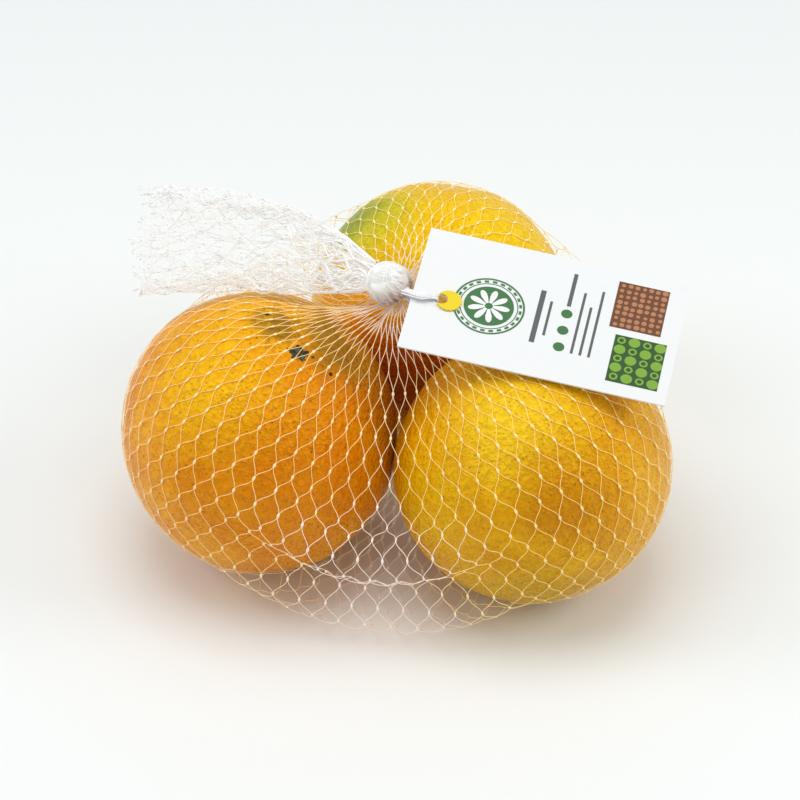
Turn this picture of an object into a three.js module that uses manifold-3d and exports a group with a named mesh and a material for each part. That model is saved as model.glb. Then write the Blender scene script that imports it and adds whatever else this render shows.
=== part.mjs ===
// Three oranges in a white net that is gathered into a knot on top. The cut end of the net fans out
// behind the knot, and a paper card hangs on the knot by a tie through a scalloped yellow ring.
// Millimetres, +Z up, +Y to the back. The origin is below the middle of the bounding box, on the
// surface that the net lies on.
import * as THREE from "three";
import { mergeVertices } from "three/addons/utils/BufferGeometryUtils.js";
import Module from "manifold-3d";

const wasm = await Module();
wasm.setup();

const GAP = 0.3; // air between two pieces that touch
const NET_THICKNESS = 0.4;
const LEAN = 51.3; // degrees that the fruits' own axes lean back

// Oranges: place on the ground, radii along the fruit's own axes, and the spin about its third axis.
const LEFT_ORANGE = { x: -44.0, y: -24.6, radii: [41.7, 43.3, 42.8], spin: 21 };
const RIGHT_ORANGE = { x: 38.7, y: -39.3, radii: [42.1, 40.6, 41.4], spin: 17 };
const BACK_ORANGE = { x: 11.2, y: 39.1, radii: [41.6, 41.0, 41.4], spin: 0 };
const FRUIT_FLAT = 0.4; // how far a fruit's foot is pressed flat by its weight

// Net: the point where it is gathered, and the two places where its slack front lies on the ground.
const GATHER = new THREE.Vector3(0.2, -15.2, 84.5);
const GATHER_RADIUS = 4.5;
const FRONT_FOLDS = [new THREE.Vector3(-15.3, -63.3, 1.5), new THREE.Vector3(6.7, -67.8, 1.5)];
const FOLD_RADIUS = 1.5;
const BAG_MIDDLE = new THREE.Vector3(2, -8.3, 42);
const BAG_DETAIL = 15; // subdivisions of the icosahedron whose corners give the bag's directions
const FRUIT_DETAIL = 8; // the same for one orange
const SLACK_PASSES = 110; // rounds of easing that let the net sink between the fruits
const LYING_HEIGHT = 2; // net lower than this lies on the ground and stays there
const BELOW_GROUND = 0.5; // how deep the bag reaches before its foot is cut flat
const HOLLOW = 0.8; // share of the way that the net falls in between two oranges
const HOLLOW_FLOOR = 22; // distance from the bag's middle that it would fall to if nothing held it
const HOLLOW_PASSES = 7; // rounds of easing that round the hollows out
const UNDER_PEEL = 1.2; // how far the falling net ends inside an orange, so that the orange shows
const TENT = [5, 62]; // from the gather, where the net starts to fall and where it falls fully
const SKIRT = [2, 18]; // the same as heights above the ground, for the net's foot

const KNOT = new THREE.Vector3(-4.3, -14.8, 92.1);
const KNOT_RADIUS = 6.9;
const KNOT_PLEATS = 11;
const PLEAT_DEPTH = 0.07; // share of the knot's radius
const PLEAT_TWIST = 1.3; // radians from pole to pole
const KNOT_SQUASH = 0.94; // its height over its width
const KNOT_TILT = [20, 62]; // degrees about x and z that its pleats' pole leans over
const NECK_HEIGHT = 5.5;
const NECK_FOOT_RADIUS = 8;

// Tail: the cut end of the net, a flattened fan. Each station is its middle, half width, half height.
const TAIL_STATIONS = [
  { at: [-9.6, -12.7, 92.8], wide: 4.6, high: 3.2 },
  { at: [-17.1, -8.1, 93.4], wide: 7.4, high: 3.8 },
  { at: [-25.1, -3.1, 93.6], wide: 10.4, high: 4.3 },
  { at: [-34.1, 0.7, 93.8], wide: 13.0, high: 4.7 },
  { at: [-44.1, 3.3, 93.8], wide: 14.8, high: 5.0 },
  { at: [-55.1, 4.7, 93.6], wide: 16.4, high: 5.2 },
  { at: [-66.1, 5.5, 93.2], wide: 17.4, high: 5.2 },
  { at: [-77.1, 5.7, 92.6], wide: 18.2, high: 5.0 },
];
const TAIL_SIDES = 56;
const TAIL_RINGS = 14;
const TAIL_ROLL = 30; // degrees that the fan leans up at the back
const TAIL_WAVE = 1.5; // how far its pleats go up and down at the cut end
const TAIL_PLEATS = 4.5; // pleats across the fan
const TAIL_RAGGED = 2.4; // how far the cut end goes in and out
const TAIL_TEETH = 11; // radians of that wave from the fan's middle to its edge

// Card: the near left corner of its face, its size, and how it lies.
const CARD_CORNER = new THREE.Vector3(-2.2, -41.1, 88.6);
const CARD_WIDTH = 80.2;
const CARD_HEIGHT = 47.6;
const CARD_THICKNESS = 0.5;
const CARD_LIE = new THREE.Euler(
  THREE.MathUtils.degToRad(12.1),
  THREE.MathUtils.degToRad(7.2),
  THREE.MathUtils.degToRad(-11.3),
  "ZYX",
);
const HOLE = new THREE.Vector2(8.9, 20.7); // on the card, from its near left corner
const HOLE_RADIUS = 1.9;
const RING_RADIUS = 3.9;
const RING_OFFSET = 2.3; // how far the ring's middle is past the hole's, so that the hole opens its edge
const RING_SCALLOPS = 20;
const SCALLOP_DEPTH = 0.3;
const RING_THICKNESS = 0.4;

const TIE_RADIUS = 0.75; // of each of its two strands
const TIE_SPACING = 1.1; // between the strands' middles
const TIE_SUNK = 0.4; // how far its ends start inside the knot before they are trimmed to it

const WHITE_NET = new THREE.MeshStandardMaterial({ color: "#f4f2ee", roughness: 0.45, metalness: 0 });
const NETTED_FRUIT = new THREE.MeshStandardMaterial({ color: "#f2a51c", roughness: 0.5, metalness: 0 });
const WHITE_CARD = new THREE.MeshStandardMaterial({ color: "#f7f7f5", roughness: 0.55, metalness: 0 });
const YELLOW_RING = new THREE.MeshStandardMaterial({ color: "#f6c915", roughness: 0.5, metalness: 0 });

// --- solids ---------------------------------------------------------------------------------------

function solidOf(geometry) {
  const bare = geometry.clone();
  bare.deleteAttribute("normal");
  bare.deleteAttribute("uv");
  const merged = mergeVertices(bare, 1e-4);
  return new wasm.Manifold(
    new wasm.Mesh({
      numProp: 3,
      vertProperties: merged.attributes.position.array,
      triVerts: new Uint32Array(merged.index.array),
    }),
  );
}

function geometryOf(solid) {
  const mesh = solid.getMesh();
  const geometry = new THREE.BufferGeometry();
  geometry.setAttribute("position", new THREE.BufferAttribute(mesh.vertProperties, 3));
  geometry.setIndex(new THREE.BufferAttribute(mesh.triVerts, 1));
  geometry.computeVertexNormals();
  return geometry;
}

// A closed tube through rings of points, each ring with the same number of points.
function loft(rings) {
  const sides = rings[0].length;
  const points = rings.flat();
  const first = points.length;
  const middleOf = (ring) =>
    ring.reduce((sum, p) => sum.add(p), new THREE.Vector3()).divideScalar(sides);
  points.push(middleOf(rings[0]), middleOf(rings[rings.length - 1]));
  const faces = [];
  for (let r = 0; r + 1 < rings.length; r++) {
    for (let s = 0; s < sides; s++) {
      const a = r * sides + s;
      const b = r * sides + ((s + 1) % sides);
      faces.push(a, b, a + sides, b, b + sides, a + sides);
    }
  }
  const last = (rings.length - 1) * sides;
  for (let s = 0; s < sides; s++) {
    faces.push(first, (s + 1) % sides, s);
    faces.push(first + 1, last + s, last + ((s + 1) % sides));
  }
  const geometry = new THREE.BufferGeometry().setFromPoints(points);
  geometry.setIndex(faces);
  geometry.computeVertexNormals();
  return geometry;
}

// --- filled net -----------------------------------------------------------------------------------

// A round body that the net bears on: its middle and a matrix that takes the unit ball to it.
function roundBody(middle, radii, spin = 0) {
  const turn = new THREE.Euler(THREE.MathUtils.degToRad(LEAN), 0, THREE.MathUtils.degToRad(spin));
  const shape = new THREE.Matrix4().makeRotationFromEuler(turn).scale(new THREE.Vector3(...radii));
  return { middle, shape, inverse: shape.clone().invert(), across: shape.clone().transpose() };
}

function orangeBody({ x, y, radii, spin }) {
  const grown = radii.map((r) => r + NET_THICKNESS);
  const body = roundBody(new THREE.Vector3(x, y, 0), grown, spin);
  body.middle.z = reach(body, new THREE.Vector3(0, 0, -1)) - FRUIT_FLAT;
  return body;
}

// How far a body reaches from the origin along a direction.
function reach(body, direction) {
  return direction.dot(body.middle) + direction.clone().applyMatrix4(body.across).length();
}

// Where a ray from the bag's middle leaves a body, or 0 if it misses.
function farCrossing(body, direction) {
  const from = BAG_MIDDLE.clone().sub(body.middle).applyMatrix4(body.inverse);
  const along = direction.clone().applyMatrix4(body.inverse);
  const a = along.lengthSq();
  const b = from.dot(along);
  const root = b * b - a * (from.lengthSq() - 1);
  return root > 0 ? (Math.sqrt(root) - b) / a : 0;
}

// The tight skin round all bodies, along each direction.
function tightSkin(bodies, directions) {
  const reaches = directions.map((n) => Math.max(...bodies.map((b) => reach(b, n))) - n.dot(BAG_MIDDLE));
  return directions.map((d) => {
    let nearest = d.z < 0 ? (BAG_MIDDLE.z + BELOW_GROUND) / -d.z : Infinity;
    directions.forEach((n, i) => {
      const facing = n.dot(d);
      if (facing > 0.05) nearest = Math.min(nearest, reaches[i] / facing);
    });
    return nearest;
  });
}

function neighboursOf(geometry, count) {
  const sets = Array.from({ length: count }, () => new Set());
  const index = geometry.index.array;
  for (let i = 0; i < index.length; i += 3) {
    for (let k = 0; k < 3; k++) {
      const a = index[i + k];
      const b = index[i + ((k + 1) % 3)];
      sets[a].add(b);
      sets[b].add(a);
    }
  }
  return sets.map((s) => [...s]);
}

function smooth(value, [low, high]) {
  return THREE.MathUtils.smoothstep(value, low, high);
}

function orangeSolid(body) {
  const ball = new THREE.IcosahedronGeometry(1, FRUIT_DETAIL);
  return solidOf(ball.applyMatrix4(body.shape).translate(...body.middle.toArray()));
}

// The net round the oranges: a tight skin that eases and then falls in between them.
function bagSolid() {
  const ball = new THREE.IcosahedronGeometry(1, BAG_DETAIL);
  ball.deleteAttribute("normal");
  ball.deleteAttribute("uv");
  const skin = mergeVertices(ball, 1e-4);
  const place = skin.getAttribute("position");
  const directions = Array.from({ length: place.count }, (_, i) =>
    new THREE.Vector3().fromBufferAttribute(place, i).normalize(),
  );
  const oranges = [LEFT_ORANGE, RIGHT_ORANGE, BACK_ORANGE].map(orangeBody);
  const gatherBall = GATHER.clone().setZ(GATHER.z - GATHER_RADIUS);
  const held = [...oranges, roundBody(gatherBall, [GATHER_RADIUS, GATHER_RADIUS, GATHER_RADIUS])];
  const folds = FRONT_FOLDS.map((p) => roundBody(p, [FOLD_RADIUS, FOLD_RADIUS, FOLD_RADIUS]));
  let radius = tightSkin([...held, ...folds], directions);
  const floor = directions.map((d) => Math.max(...held.map((b) => farCrossing(b, d))));
  const lies = directions.map((d, i) => BAG_MIDDLE.z + d.z * radius[i] < LYING_HEIGHT);
  const neighbours = neighboursOf(skin, directions.length);
  for (let pass = 0; pass < SLACK_PASSES; pass++) {
    const points = directions.map((d, i) => d.clone().multiplyScalar(radius[i]));
    radius = radius.map((r, i) => {
      if (lies[i]) return r;
      const around = neighbours[i].reduce((sum, j) => sum.add(points[j]), new THREE.Vector3());
      const eased = around.divideScalar(neighbours[i].length).dot(directions[i]);
      return Math.max(floor[i], Math.min(r, eased));
    });
  }
  const placeOf = (i) => directions[i].clone().multiplyScalar(radius[i]).add(BAG_MIDDLE);
  const risen = directions.map((_, i) => smooth(placeOf(i).z, SKIRT));
  const still = radius.map((r, i) => r - UNDER_PEEL * risen[i]);
  radius = directions.map((_, i) => {
    const falls = HOLLOW * smooth(placeOf(i).distanceTo(GATHER), TENT) * risen[i];
    const fallen = Math.min(still[i], Math.max(floor[i] - UNDER_PEEL, HOLLOW_FLOOR));
    return still[i] - falls * (still[i] - fallen);
  });
  for (let pass = 0; pass < HOLLOW_PASSES; pass++) {
    radius = radius.map((r, i) => {
      const around = neighbours[i].reduce((sum, j) => sum + radius[j], 0) / neighbours[i].length;
      return lies[i] ? r : Math.min(still[i], (r + around) / 2);
    });
  }
  directions.forEach((_, i) => place.setXYZ(i, ...placeOf(i).toArray()));
  const foot = new THREE.BoxGeometry(400, 400, 20).translate(0, 0, -10);
  const full = oranges.map(orangeSolid).reduce((sum, orange) => sum.add(orange), solidOf(skin));
  return full.subtract(solidOf(foot));
}

// The gathered strands that rise from the bag into the knot.
function neckSolid() {
  const foot = GATHER.clone().setZ(GATHER.z - NECK_HEIGHT / 2);
  const profile = [
    [0, 0],
    [NECK_FOOT_RADIUS, 0],
    [GATHER_RADIUS + 0.8, NECK_HEIGHT * 0.4],
    [GATHER_RADIUS - 0.5, NECK_HEIGHT],
    [0, NECK_HEIGHT],
  ].map(([r, z]) => new THREE.Vector2(r, z));
  const neck = new THREE.LatheGeometry(profile, 24).rotateX(Math.PI / 2);
  return solidOf(neck.translate(foot.x, foot.y, foot.z));
}

// --- knot, tail and tie ---------------------------------------------------------------------------

function ballSolid(middle, radius) {
  return solidOf(new THREE.SphereGeometry(radius, 24, 16).translate(middle.x, middle.y, middle.z));
}

function knotSolid() {
  const ball = new THREE.SphereGeometry(KNOT_RADIUS, 44, 18);
  const place = ball.getAttribute("position");
  for (let i = 0; i < place.count; i++) {
    const p = new THREE.Vector3().fromBufferAttribute(place, i);
    const polar = Math.acos(THREE.MathUtils.clamp(p.y / KNOT_RADIUS, -1, 1));
    const around = Math.atan2(p.z, p.x);
    const pleat = Math.cos(KNOT_PLEATS * around + PLEAT_TWIST * KNOT_PLEATS * (polar / Math.PI));
    p.multiplyScalar(1 + PLEAT_DEPTH * Math.sin(polar) * (pleat - 1));
    place.setXYZ(i, p.x, p.y * KNOT_SQUASH, p.z);
  }
  const [aboutX, aboutZ] = KNOT_TILT.map(THREE.MathUtils.degToRad);
  ball.rotateZ(aboutZ).rotateX(aboutX);
  return solidOf(ball.translate(KNOT.x, KNOT.y, KNOT.z));
}

function tailSolid() {
  const middles = new THREE.CatmullRomCurve3(TAIL_STATIONS.map((s) => new THREE.Vector3(...s.at)));
  const sizes = new THREE.CatmullRomCurve3(
    TAIL_STATIONS.map((s) => new THREE.Vector3(s.wide, s.high, 0)),
  );
  const roll = THREE.MathUtils.degToRad(TAIL_ROLL);
  const across = new THREE.Vector3(0, Math.cos(roll), Math.sin(roll));
  const upward = new THREE.Vector3(0, -Math.sin(roll), Math.cos(roll));
  const rings = [];
  for (let r = 0; r <= TAIL_RINGS; r++) {
    const t = r / TAIL_RINGS;
    const middle = middles.getPoint(t);
    const size = sizes.getPoint(t);
    const ring = [];
    for (let s = 0; s < TAIL_SIDES; s++) {
      const turn = (-2 * Math.PI * s) / TAIL_SIDES;
      const side = Math.cos(turn);
      const pleat = Math.sin(2 * Math.PI * TAIL_PLEATS * (side / 2) + 2 * t);
      const point = middle.clone();
      point.addScaledVector(across, size.x * side);
      point.addScaledVector(upward, size.y * Math.sin(turn) + TAIL_WAVE * t * pleat);
      point.x += TAIL_RAGGED * t ** 6 * Math.cos(TAIL_TEETH * side + 0.6);
      ring.push(point);
    }
    rings.push(ring);
  }
  return solidOf(loft(rings));
}

// The tie leaves the knot, dips through the card's hole and comes back below the card.
function tieSolid(cardPlace) {
  const onCard = (x, y, above) => new THREE.Vector3(x, y, above).applyMatrix4(cardPlace);
  const fromKnot = (towards) => KNOT.clone().lerp(towards, (KNOT_RADIUS - TIE_SUNK) / KNOT.distanceTo(towards));
  const route = [
    fromKnot(onCard(0, HOLE.y - 1.6, 1.6)),
    onCard(2.4, HOLE.y - 1.3, 1.8),
    onCard(5.4, HOLE.y - 0.5, 1.7),
    onCard(7.8, HOLE.y, 1.2),
    onCard(HOLE.x, HOLE.y, -0.2),
    onCard(7.7, HOLE.y, -2.2),
    onCard(5.0, HOLE.y - 0.6, -3.0),
    fromKnot(onCard(2.4, HOLE.y - 1.2, -3.2)),
  ];
  const strand = (shift) => {
    const circle = new THREE.Shape().absarc(0, 0, TIE_RADIUS, 0, 2 * Math.PI);
    const path = new THREE.CatmullRomCurve3(
      route.map((p) => p.clone().add(new THREE.Vector3(0, shift, 0))),
    );
    return solidOf(
      new THREE.ExtrudeGeometry(circle, { steps: 36, curveSegments: 4, extrudePath: path }),
    );
  };
  return strand(-TIE_SPACING / 2).add(strand(TIE_SPACING / 2));
}

// --- card -----------------------------------------------------------------------------------------

function cardGeometry() {
  const outline = new THREE.Shape();
  outline.moveTo(0, 0);
  outline.lineTo(CARD_WIDTH, 0);
  outline.lineTo(CARD_WIDTH, CARD_HEIGHT);
  outline.lineTo(0, CARD_HEIGHT);
  outline.closePath();
  outline.holes.push(new THREE.Path().absarc(HOLE.x, HOLE.y, HOLE_RADIUS, 0, 2 * Math.PI, true));
  const card = new THREE.ExtrudeGeometry(outline, {
    depth: CARD_THICKNESS,
    bevelEnabled: false,
    curveSegments: 12,
  });
  return card.translate(0, 0, -CARD_THICKNESS);
}

function ringGeometry() {
  const rim = [];
  for (let i = 0; i < 4 * RING_SCALLOPS; i++) {
    const turn = (2 * Math.PI * i) / (4 * RING_SCALLOPS);
    const radius = RING_RADIUS - SCALLOP_DEPTH * (0.5 - 0.5 * Math.cos(RING_SCALLOPS * turn));
    rim.push(new THREE.Vector2(RING_OFFSET + radius * Math.cos(turn), radius * Math.sin(turn)));
  }
  const disc = new THREE.ExtrudeGeometry(new THREE.Shape(rim), {
    depth: RING_THICKNESS,
    bevelEnabled: false,
  });
  const punch = new THREE.CylinderGeometry(HOLE_RADIUS, HOLE_RADIUS, 4, 32).rotateX(Math.PI / 2);
  const ring = geometryOf(solidOf(disc).subtract(solidOf(punch)));
  return ring.translate(HOLE.x, HOLE.y, GAP);
}

// --- the whole ------------------------------------------------------------------------------------

function piece(name, geometry, material) {
  const mesh = new THREE.Mesh(geometry, material);
  mesh.name = name;
  return mesh;
}

const cardGroup = new THREE.Group();
cardGroup.position.copy(CARD_CORNER);
cardGroup.rotation.copy(CARD_LIE);
cardGroup.updateMatrix();
cardGroup.add(piece("card", cardGeometry(), WHITE_CARD));
cardGroup.add(piece("card_ring", ringGeometry(), YELLOW_RING));

const bag = bagSolid().add(neckSolid());
const knot = knotSolid().subtract(bag.translate([0, 0, GAP]));
const roundKnot = ballSolid(KNOT, KNOT_RADIUS + GAP);
const tail = tailSolid().subtract(roundKnot);
const tie = tieSolid(cardGroup.matrix).subtract(roundKnot);

const netOfOranges = new THREE.Group();
netOfOranges.add(piece("filled_net", geometryOf(bag), NETTED_FRUIT));
netOfOranges.add(piece("net_knot", geometryOf(knot), WHITE_NET));
netOfOranges.add(piece("net_tail", geometryOf(tail), WHITE_NET));
netOfOranges.add(piece("card_tie", geometryOf(tie), WHITE_NET));
netOfOranges.add(cardGroup);

export default netOfOranges;
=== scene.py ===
"""Three oranges in a white diamond net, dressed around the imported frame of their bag, knot, tail and card.

The file is laid out as an add-on and is run as a script. Lengths inside the functions are millimetres
in the frame's own axes, and a mesh is turned into metres when it is made.
"""
import functools
import math

import bpy
import numpy as np
from bpy.props import FloatProperty, FloatVectorProperty, PointerProperty
from mathutils import Matrix, Vector


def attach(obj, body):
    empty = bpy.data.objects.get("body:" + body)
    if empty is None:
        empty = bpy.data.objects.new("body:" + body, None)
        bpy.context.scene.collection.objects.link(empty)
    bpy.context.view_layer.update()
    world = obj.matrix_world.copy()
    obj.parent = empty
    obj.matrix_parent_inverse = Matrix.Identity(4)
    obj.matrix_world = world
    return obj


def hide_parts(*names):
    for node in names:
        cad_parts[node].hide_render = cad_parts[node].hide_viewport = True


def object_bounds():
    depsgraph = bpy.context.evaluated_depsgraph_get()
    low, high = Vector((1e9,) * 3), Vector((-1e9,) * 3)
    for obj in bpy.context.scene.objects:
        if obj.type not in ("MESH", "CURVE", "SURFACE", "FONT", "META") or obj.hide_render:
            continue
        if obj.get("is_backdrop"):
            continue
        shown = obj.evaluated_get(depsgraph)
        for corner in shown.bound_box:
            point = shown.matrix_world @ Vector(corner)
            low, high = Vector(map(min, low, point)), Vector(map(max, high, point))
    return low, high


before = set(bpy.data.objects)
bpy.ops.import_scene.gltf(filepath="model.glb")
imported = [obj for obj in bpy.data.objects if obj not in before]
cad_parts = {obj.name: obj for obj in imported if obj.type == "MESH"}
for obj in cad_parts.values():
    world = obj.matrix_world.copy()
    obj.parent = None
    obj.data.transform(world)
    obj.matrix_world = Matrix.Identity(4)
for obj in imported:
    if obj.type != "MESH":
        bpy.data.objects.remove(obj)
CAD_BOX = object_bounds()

bl_info = {
    "name": "Net of oranges",
    "version": (1, 0, 0),
    "blender": (4, 5, 0),
    "location": "3D View > Sidebar > Net of oranges",
    "description": "Oranges, net, knot, tail and card around the packed frame of a fruit net",
    "category": "Object",
}

MM = 0.001
SEED = 41

# --- sizes, in millimetres ------------------------------------------------------------------------

FRUIT_LEAN = 51.3  # degrees that the fruits' own axes lean back
FRUIT_FLAT = 0.4  # how far a fruit's foot is pressed flat
FRUITS = {
    "left": {"place": (-44.0, -24.6), "radii": (41.7, 43.3, 42.8), "spin": 21},
    "right": {"place": (38.7, -39.3), "radii": (42.1, 40.6, 41.4), "spin": 17},
    "back": {"place": (11.2, 39.1), "radii": (41.6, 41.0, 41.4), "spin": 0},
}
STEMS = {"left": (0.304, -0.240, 0.922), "right": (0.55, 0.62, -0.56), "back": (-0.62, 0.66, 0.42)}
STEM_PROFILE = (  # distance from the stem's axis, and height, from its middle to its foot
    (0.02, 0.55), (0.5, 0.62), (0.85, 0.9), (1.2, 1.0), (1.6, 0.85),
    (2.1, 0.75), (2.6, 0.6), (3.0, 0.35), (3.1, 0.0), (2.6, -0.6),
)
STEM_SPOKES = 30
STEM_SUNK = 1.75  # how far below the round of the fruit the stem's foot lies
FRUIT_RINGS = 150
FRUIT_SPOKES = 224
FRUIT_CLEAR = 0.4  # between the peel and the ground
STEM_HOLLOW = (1.5, 6.5)  # depth and width of the dimple that the stem sits in
FURROWS_FROM_STEM = 8
FURROW_HOLLOW = (0.5, 4.5)  # depth and width of the furrows that run out from it
BLOSSOM_HOLLOW = (0.8, 3.0)
PEEL_SWELLS = ((0.26, 30, 24), (0.07, 9, 40), (0.035, 3.4, 60))  # height, length, number of waves
PEEL_HIGHEST = 0.1  # swells are cut off here, so that the net lies above them

GATHER = np.array([-0.7, -15.0, 87.0])  # where the net is drawn together, below the knot
GATHER_RADIUS = 2.5
GATHER_AXIS = np.array([-4.5, 0.0, 7.1])
FRONT_FOLDS = ((-15.3, -63.3, 1.5), (6.7, -67.8, 1.5))  # loose net that lies on the ground in front
FOLD_RADIUS = 1.5
BAG_MIDDLE = np.array([2.0, -8.3, 42.0])
CLOSURE = np.array([3.0, 16.0, 1.0])  # where the net is closed, under the fruits
CLOSURE_RADIUS = 5.0

COLUMNS = 66
BAG_ROWS = 31
RELAXED_WIDTH = 7.0  # of a mesh that nothing pulls
ROW_PITCH = 6.9
BAG_BOW = 1.12  # how strongly a strand bends in and out of its nodes
TAIL_BOW = 0.7
WELD_SIZE = (0.78, 0.46, 0.22)  # half length, half width, half thickness
STRAND_SIDES = 5
BEAD_RINGS = 5
BEAD_SIDES = 6
BUNCHING = 0.8  # how much thicker strands look where they cling together at the knot
BAG_BUNCHED = 9.0  # how far from it that reaches, in the bag and in the tail
TAIL_BUNCHED = 20.0
STRAND_CLEAR = 0.03  # between a strand and the peel
WELD_CLEAR = 0.02  # between a weld and the ground
STRAND_STEPS = 8  # along one side of a mesh

# How the net settles: seconds, millimetres, and shares of what is wrong that one round puts right.
FALL_MOMENTS = 200
FALL_STEP = 1 / 240
FALL_ROUNDS = 8
FALL_PULL = 1500
FALL_EASED = 60  # moments until it falls with its full weight
FALL_DRAG = 0.93
FALL_FASTEST = 800
STRAND_HOLD = (1.0, 0.08)  # when a strand is too long and when it is too short
ROW_HOLD = 0.04
COLUMN_HOLD = 0.012
NET_CLEAR = 0.35  # between a node and the peel or the ground
SLIP_ON_PEEL = 0.35
SLIP_ON_GROUND = 0.1

FILM_ON = {"left": (255, 222, 150), "right": (255, 224, 132), "back": (255, 232, 146)}
FILM_FREE = (248, 232, 220)
# painted shade: the pinkish grey that the film is darkened to near the gather, under the knot
FILM_GATHER_SHADE = (214, 182, 160)
GATHER_SHADE_REACH = 18.0  # how far from the gather the film is painted darker with shade
GATHER_SHADE_SHARE = 0.75
# painted shade: the brownish colour under the knot and between the strands at its foot
KNOT_FOOT_SHADE = (160, 112, 72)
TAIL_PAINTED_LIGHTER = 1.06  # painted light: how much lighter the tail's strands are coloured, against the shade among its crowded strands
FILM_WHITE = (243, 243, 242)
FILM_FADE = (2.5, 14.0)  # from the peel, where the fruit's colour starts to leave it and has left it
FILM_PAINTED_GLOW = 0.13  # painted glow: light that the film gives off itself, in place of the light that thin film passes on from behind

KNOT = np.array([-4.5, -14.9, 91.9])
KNOT_RADIUS = 6.7
KNOT_CORE_RADIUS = 6.2  # of the firm core under its strands
KNOT_STRAND_SHARE = 0.8  # thickness of its strands, drawn tight, beside those of the bag
KNOT_WIDER = 1.07  # its width over its height
KNOT_DIMPLE = 0.34  # share of its radius that it is drawn in where the net leaves it
KNOT_SHADE_STREAKS = 31  # furrows of painted shade round its foot
KNOT_CROWN = 2.15  # angle from its foot, in radians, past which it has no painted shade and is all white
KNOT_SWEEPS = 260
KNOT_WINDS = 150

TAIL_ROWS = 12
TAIL_BEND = np.array([(-8.6, -13.0, 92.8), (-24, -2.5, 94.2), (-48, 6.5, 94.4), (-78.5, 5.6, 92.6)])
TAIL_ROLL = 30  # degrees that the fan leans up at the back
TAIL_PLEATS = 7  # in each half turn round it
TAIL_HALF = ((4.4, 13.8), (3.0, 1.8))  # half width and height at the knot, and what its end adds to them
TAIL_CRUMPLE = 1.5  # how far its last nodes stray
TAIL_EASING = 30  # rounds that bring its strands to their length
TAIL_HOLD = (0.8, 0.35)  # as STRAND_HOLD
TAIL_UPWARD = (0.0, -0.3, 1.0)  # the way that its strands and welds face
TAIL_WELD_SHARE = 0.7  # size of its welds beside those of the bag
# painted shade: how much darker the tail's welds are coloured, for shade on its crowded nodes
TAIL_WELD_SHADE = 0.86
TAIL_KNOT_SHADE = (0.35, 14.0)  # share of painted warm shade, from the film's other colours, in it at the knot, and how far from there that fades
CONE_STRANDS = 190  # drawn tight between the knot and the fan
CONE_REACH = (0.10, 0.52)  # how much of the tail they run along

CARD_CORNER = Vector((-2.2, -41.1, 88.6))
CARD_TURN = (12.1, 7.2, -11.3)  # degrees about X, then Y, then Z
HOLE = (8.9, 20.7)  # middle of the card's hole, from its near left corner
INK = 0.05  # how far print stands off the card
EMBLEM = (23.0, 22.4)  # its middle on the card
EMBLEM_RINGS = ((10.2, 10.8), (8.5, 8.8), (0.0, 7.5))
EMBLEM_DASHES = 24
DASH_RADII = (9.1, 9.9)
DASH_HALF = 0.07  # half of the angle that a dash takes, in radians
EMBLEM_PETALS = 9
PETAL_HALF = 0.29
GREEN_DOTS = ((46.0, 13.0), (46.0, 19.5), (46.0, 26.0))
GREEN_DOT_RADIUS = 1.7
GREY_BARS = (  # two opposite corners of each
    (37.0, 12.5, 38.6, 33.0), (40.4, 16.0, 41.2, 29.5), (45.4, 29.0, 46.6, 42.0),
    (49.6, 11.5, 50.4, 35.5), (52.2, 11.5, 53.0, 30.5), (54.8, 11.5, 55.6, 37.5),
)
NUT_FIELD = (59.0, 25.0, 74.5, 43.0)
NUT_FIRST, NUT_PITCH, NUT_COUNTS = (60.4, 26.4), (2.15, 2.2), (7, 8)  # its dots, across and along
LEAF_FIELD = (61.5, 4.5, 77.0, 22.5)
LIME_FIRST, LIME_PITCH, LIME_COUNTS = (63.6, 6.6), (3.9, 3.5), (4, 5)
LIME_RADII = ((0.7, 1.3), (0.0, 1.75))  # rings and full discs take turns
CARD_WHITE = (241, 242, 241)
RING_YELLOW = (242, 214, 4)
PRINT_WHITE = (248, 249, 246)
PRINT_GREEN = (62, 118, 66)
PRINT_DEEP_GREEN = (44, 84, 34)
PRINT_LIME = (128, 172, 52)
PRINT_BROWN = (112, 66, 40)
PRINT_TAN = (186, 128, 84)
PRINT_GREY = (92, 98, 96)
TIE_STRANDS = 7
TIE_RADIUS = 0.27
TIE_SPREAD = (1.7, 0.8)  # half width of the flat band of strands at the knot and at the hole

FLOOR_CORNERS = ((-3000, -3000, 0), (3000, -3000, 0), (3000, 5000, 0), (-3000, 5000, 0))
FLOOR_COLOUR = (245, 248, 247)
SKY_COLOUR = (0.97, 0.985, 0.985, 1)
SKY_STRENGTH = 0.51
LAMPS = (  # name, place and width in metres, share of the soft light's power
    ("soft_light_above", (-0.05, -0.03, 1.0), 0.7, 0.8),
    ("soft_light_right", (0.95, -0.12, 0.65), 0.6, 0.8),
    ("soft_light_left", (-0.95, -0.02, 0.75), 0.6, 0.66),
)
LAMPS_AIM_AT = Vector((0, -0.02, 0.04))
LAMP_COLOUR = (0.97, 0.985, 1.0)
CAMERA_LOOKS_AT = Vector((-1.3, -37.8, 65.6))
CAMERA_ELEVATION = 38.7
CAMERA_DISTANCE = 1000.0
CAMERA_LENS = 150.98

# --- meshes ---------------------------------------------------------------------------------------


def light(colour):
    """A screen colour of 0 to 255 as linear light."""
    shares = np.asarray(colour, float) / 255
    return np.where(shares <= 0.04045, shares / 12.92, ((shares + 0.055) / 1.055) ** 2.4)


def opaque(colour):
    """The same with a fourth value, as a shader's colour sockets take it."""
    return (*light(colour), 1.0)


def blend(first, second, share):
    return first * (1 - share) + second * share


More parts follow.
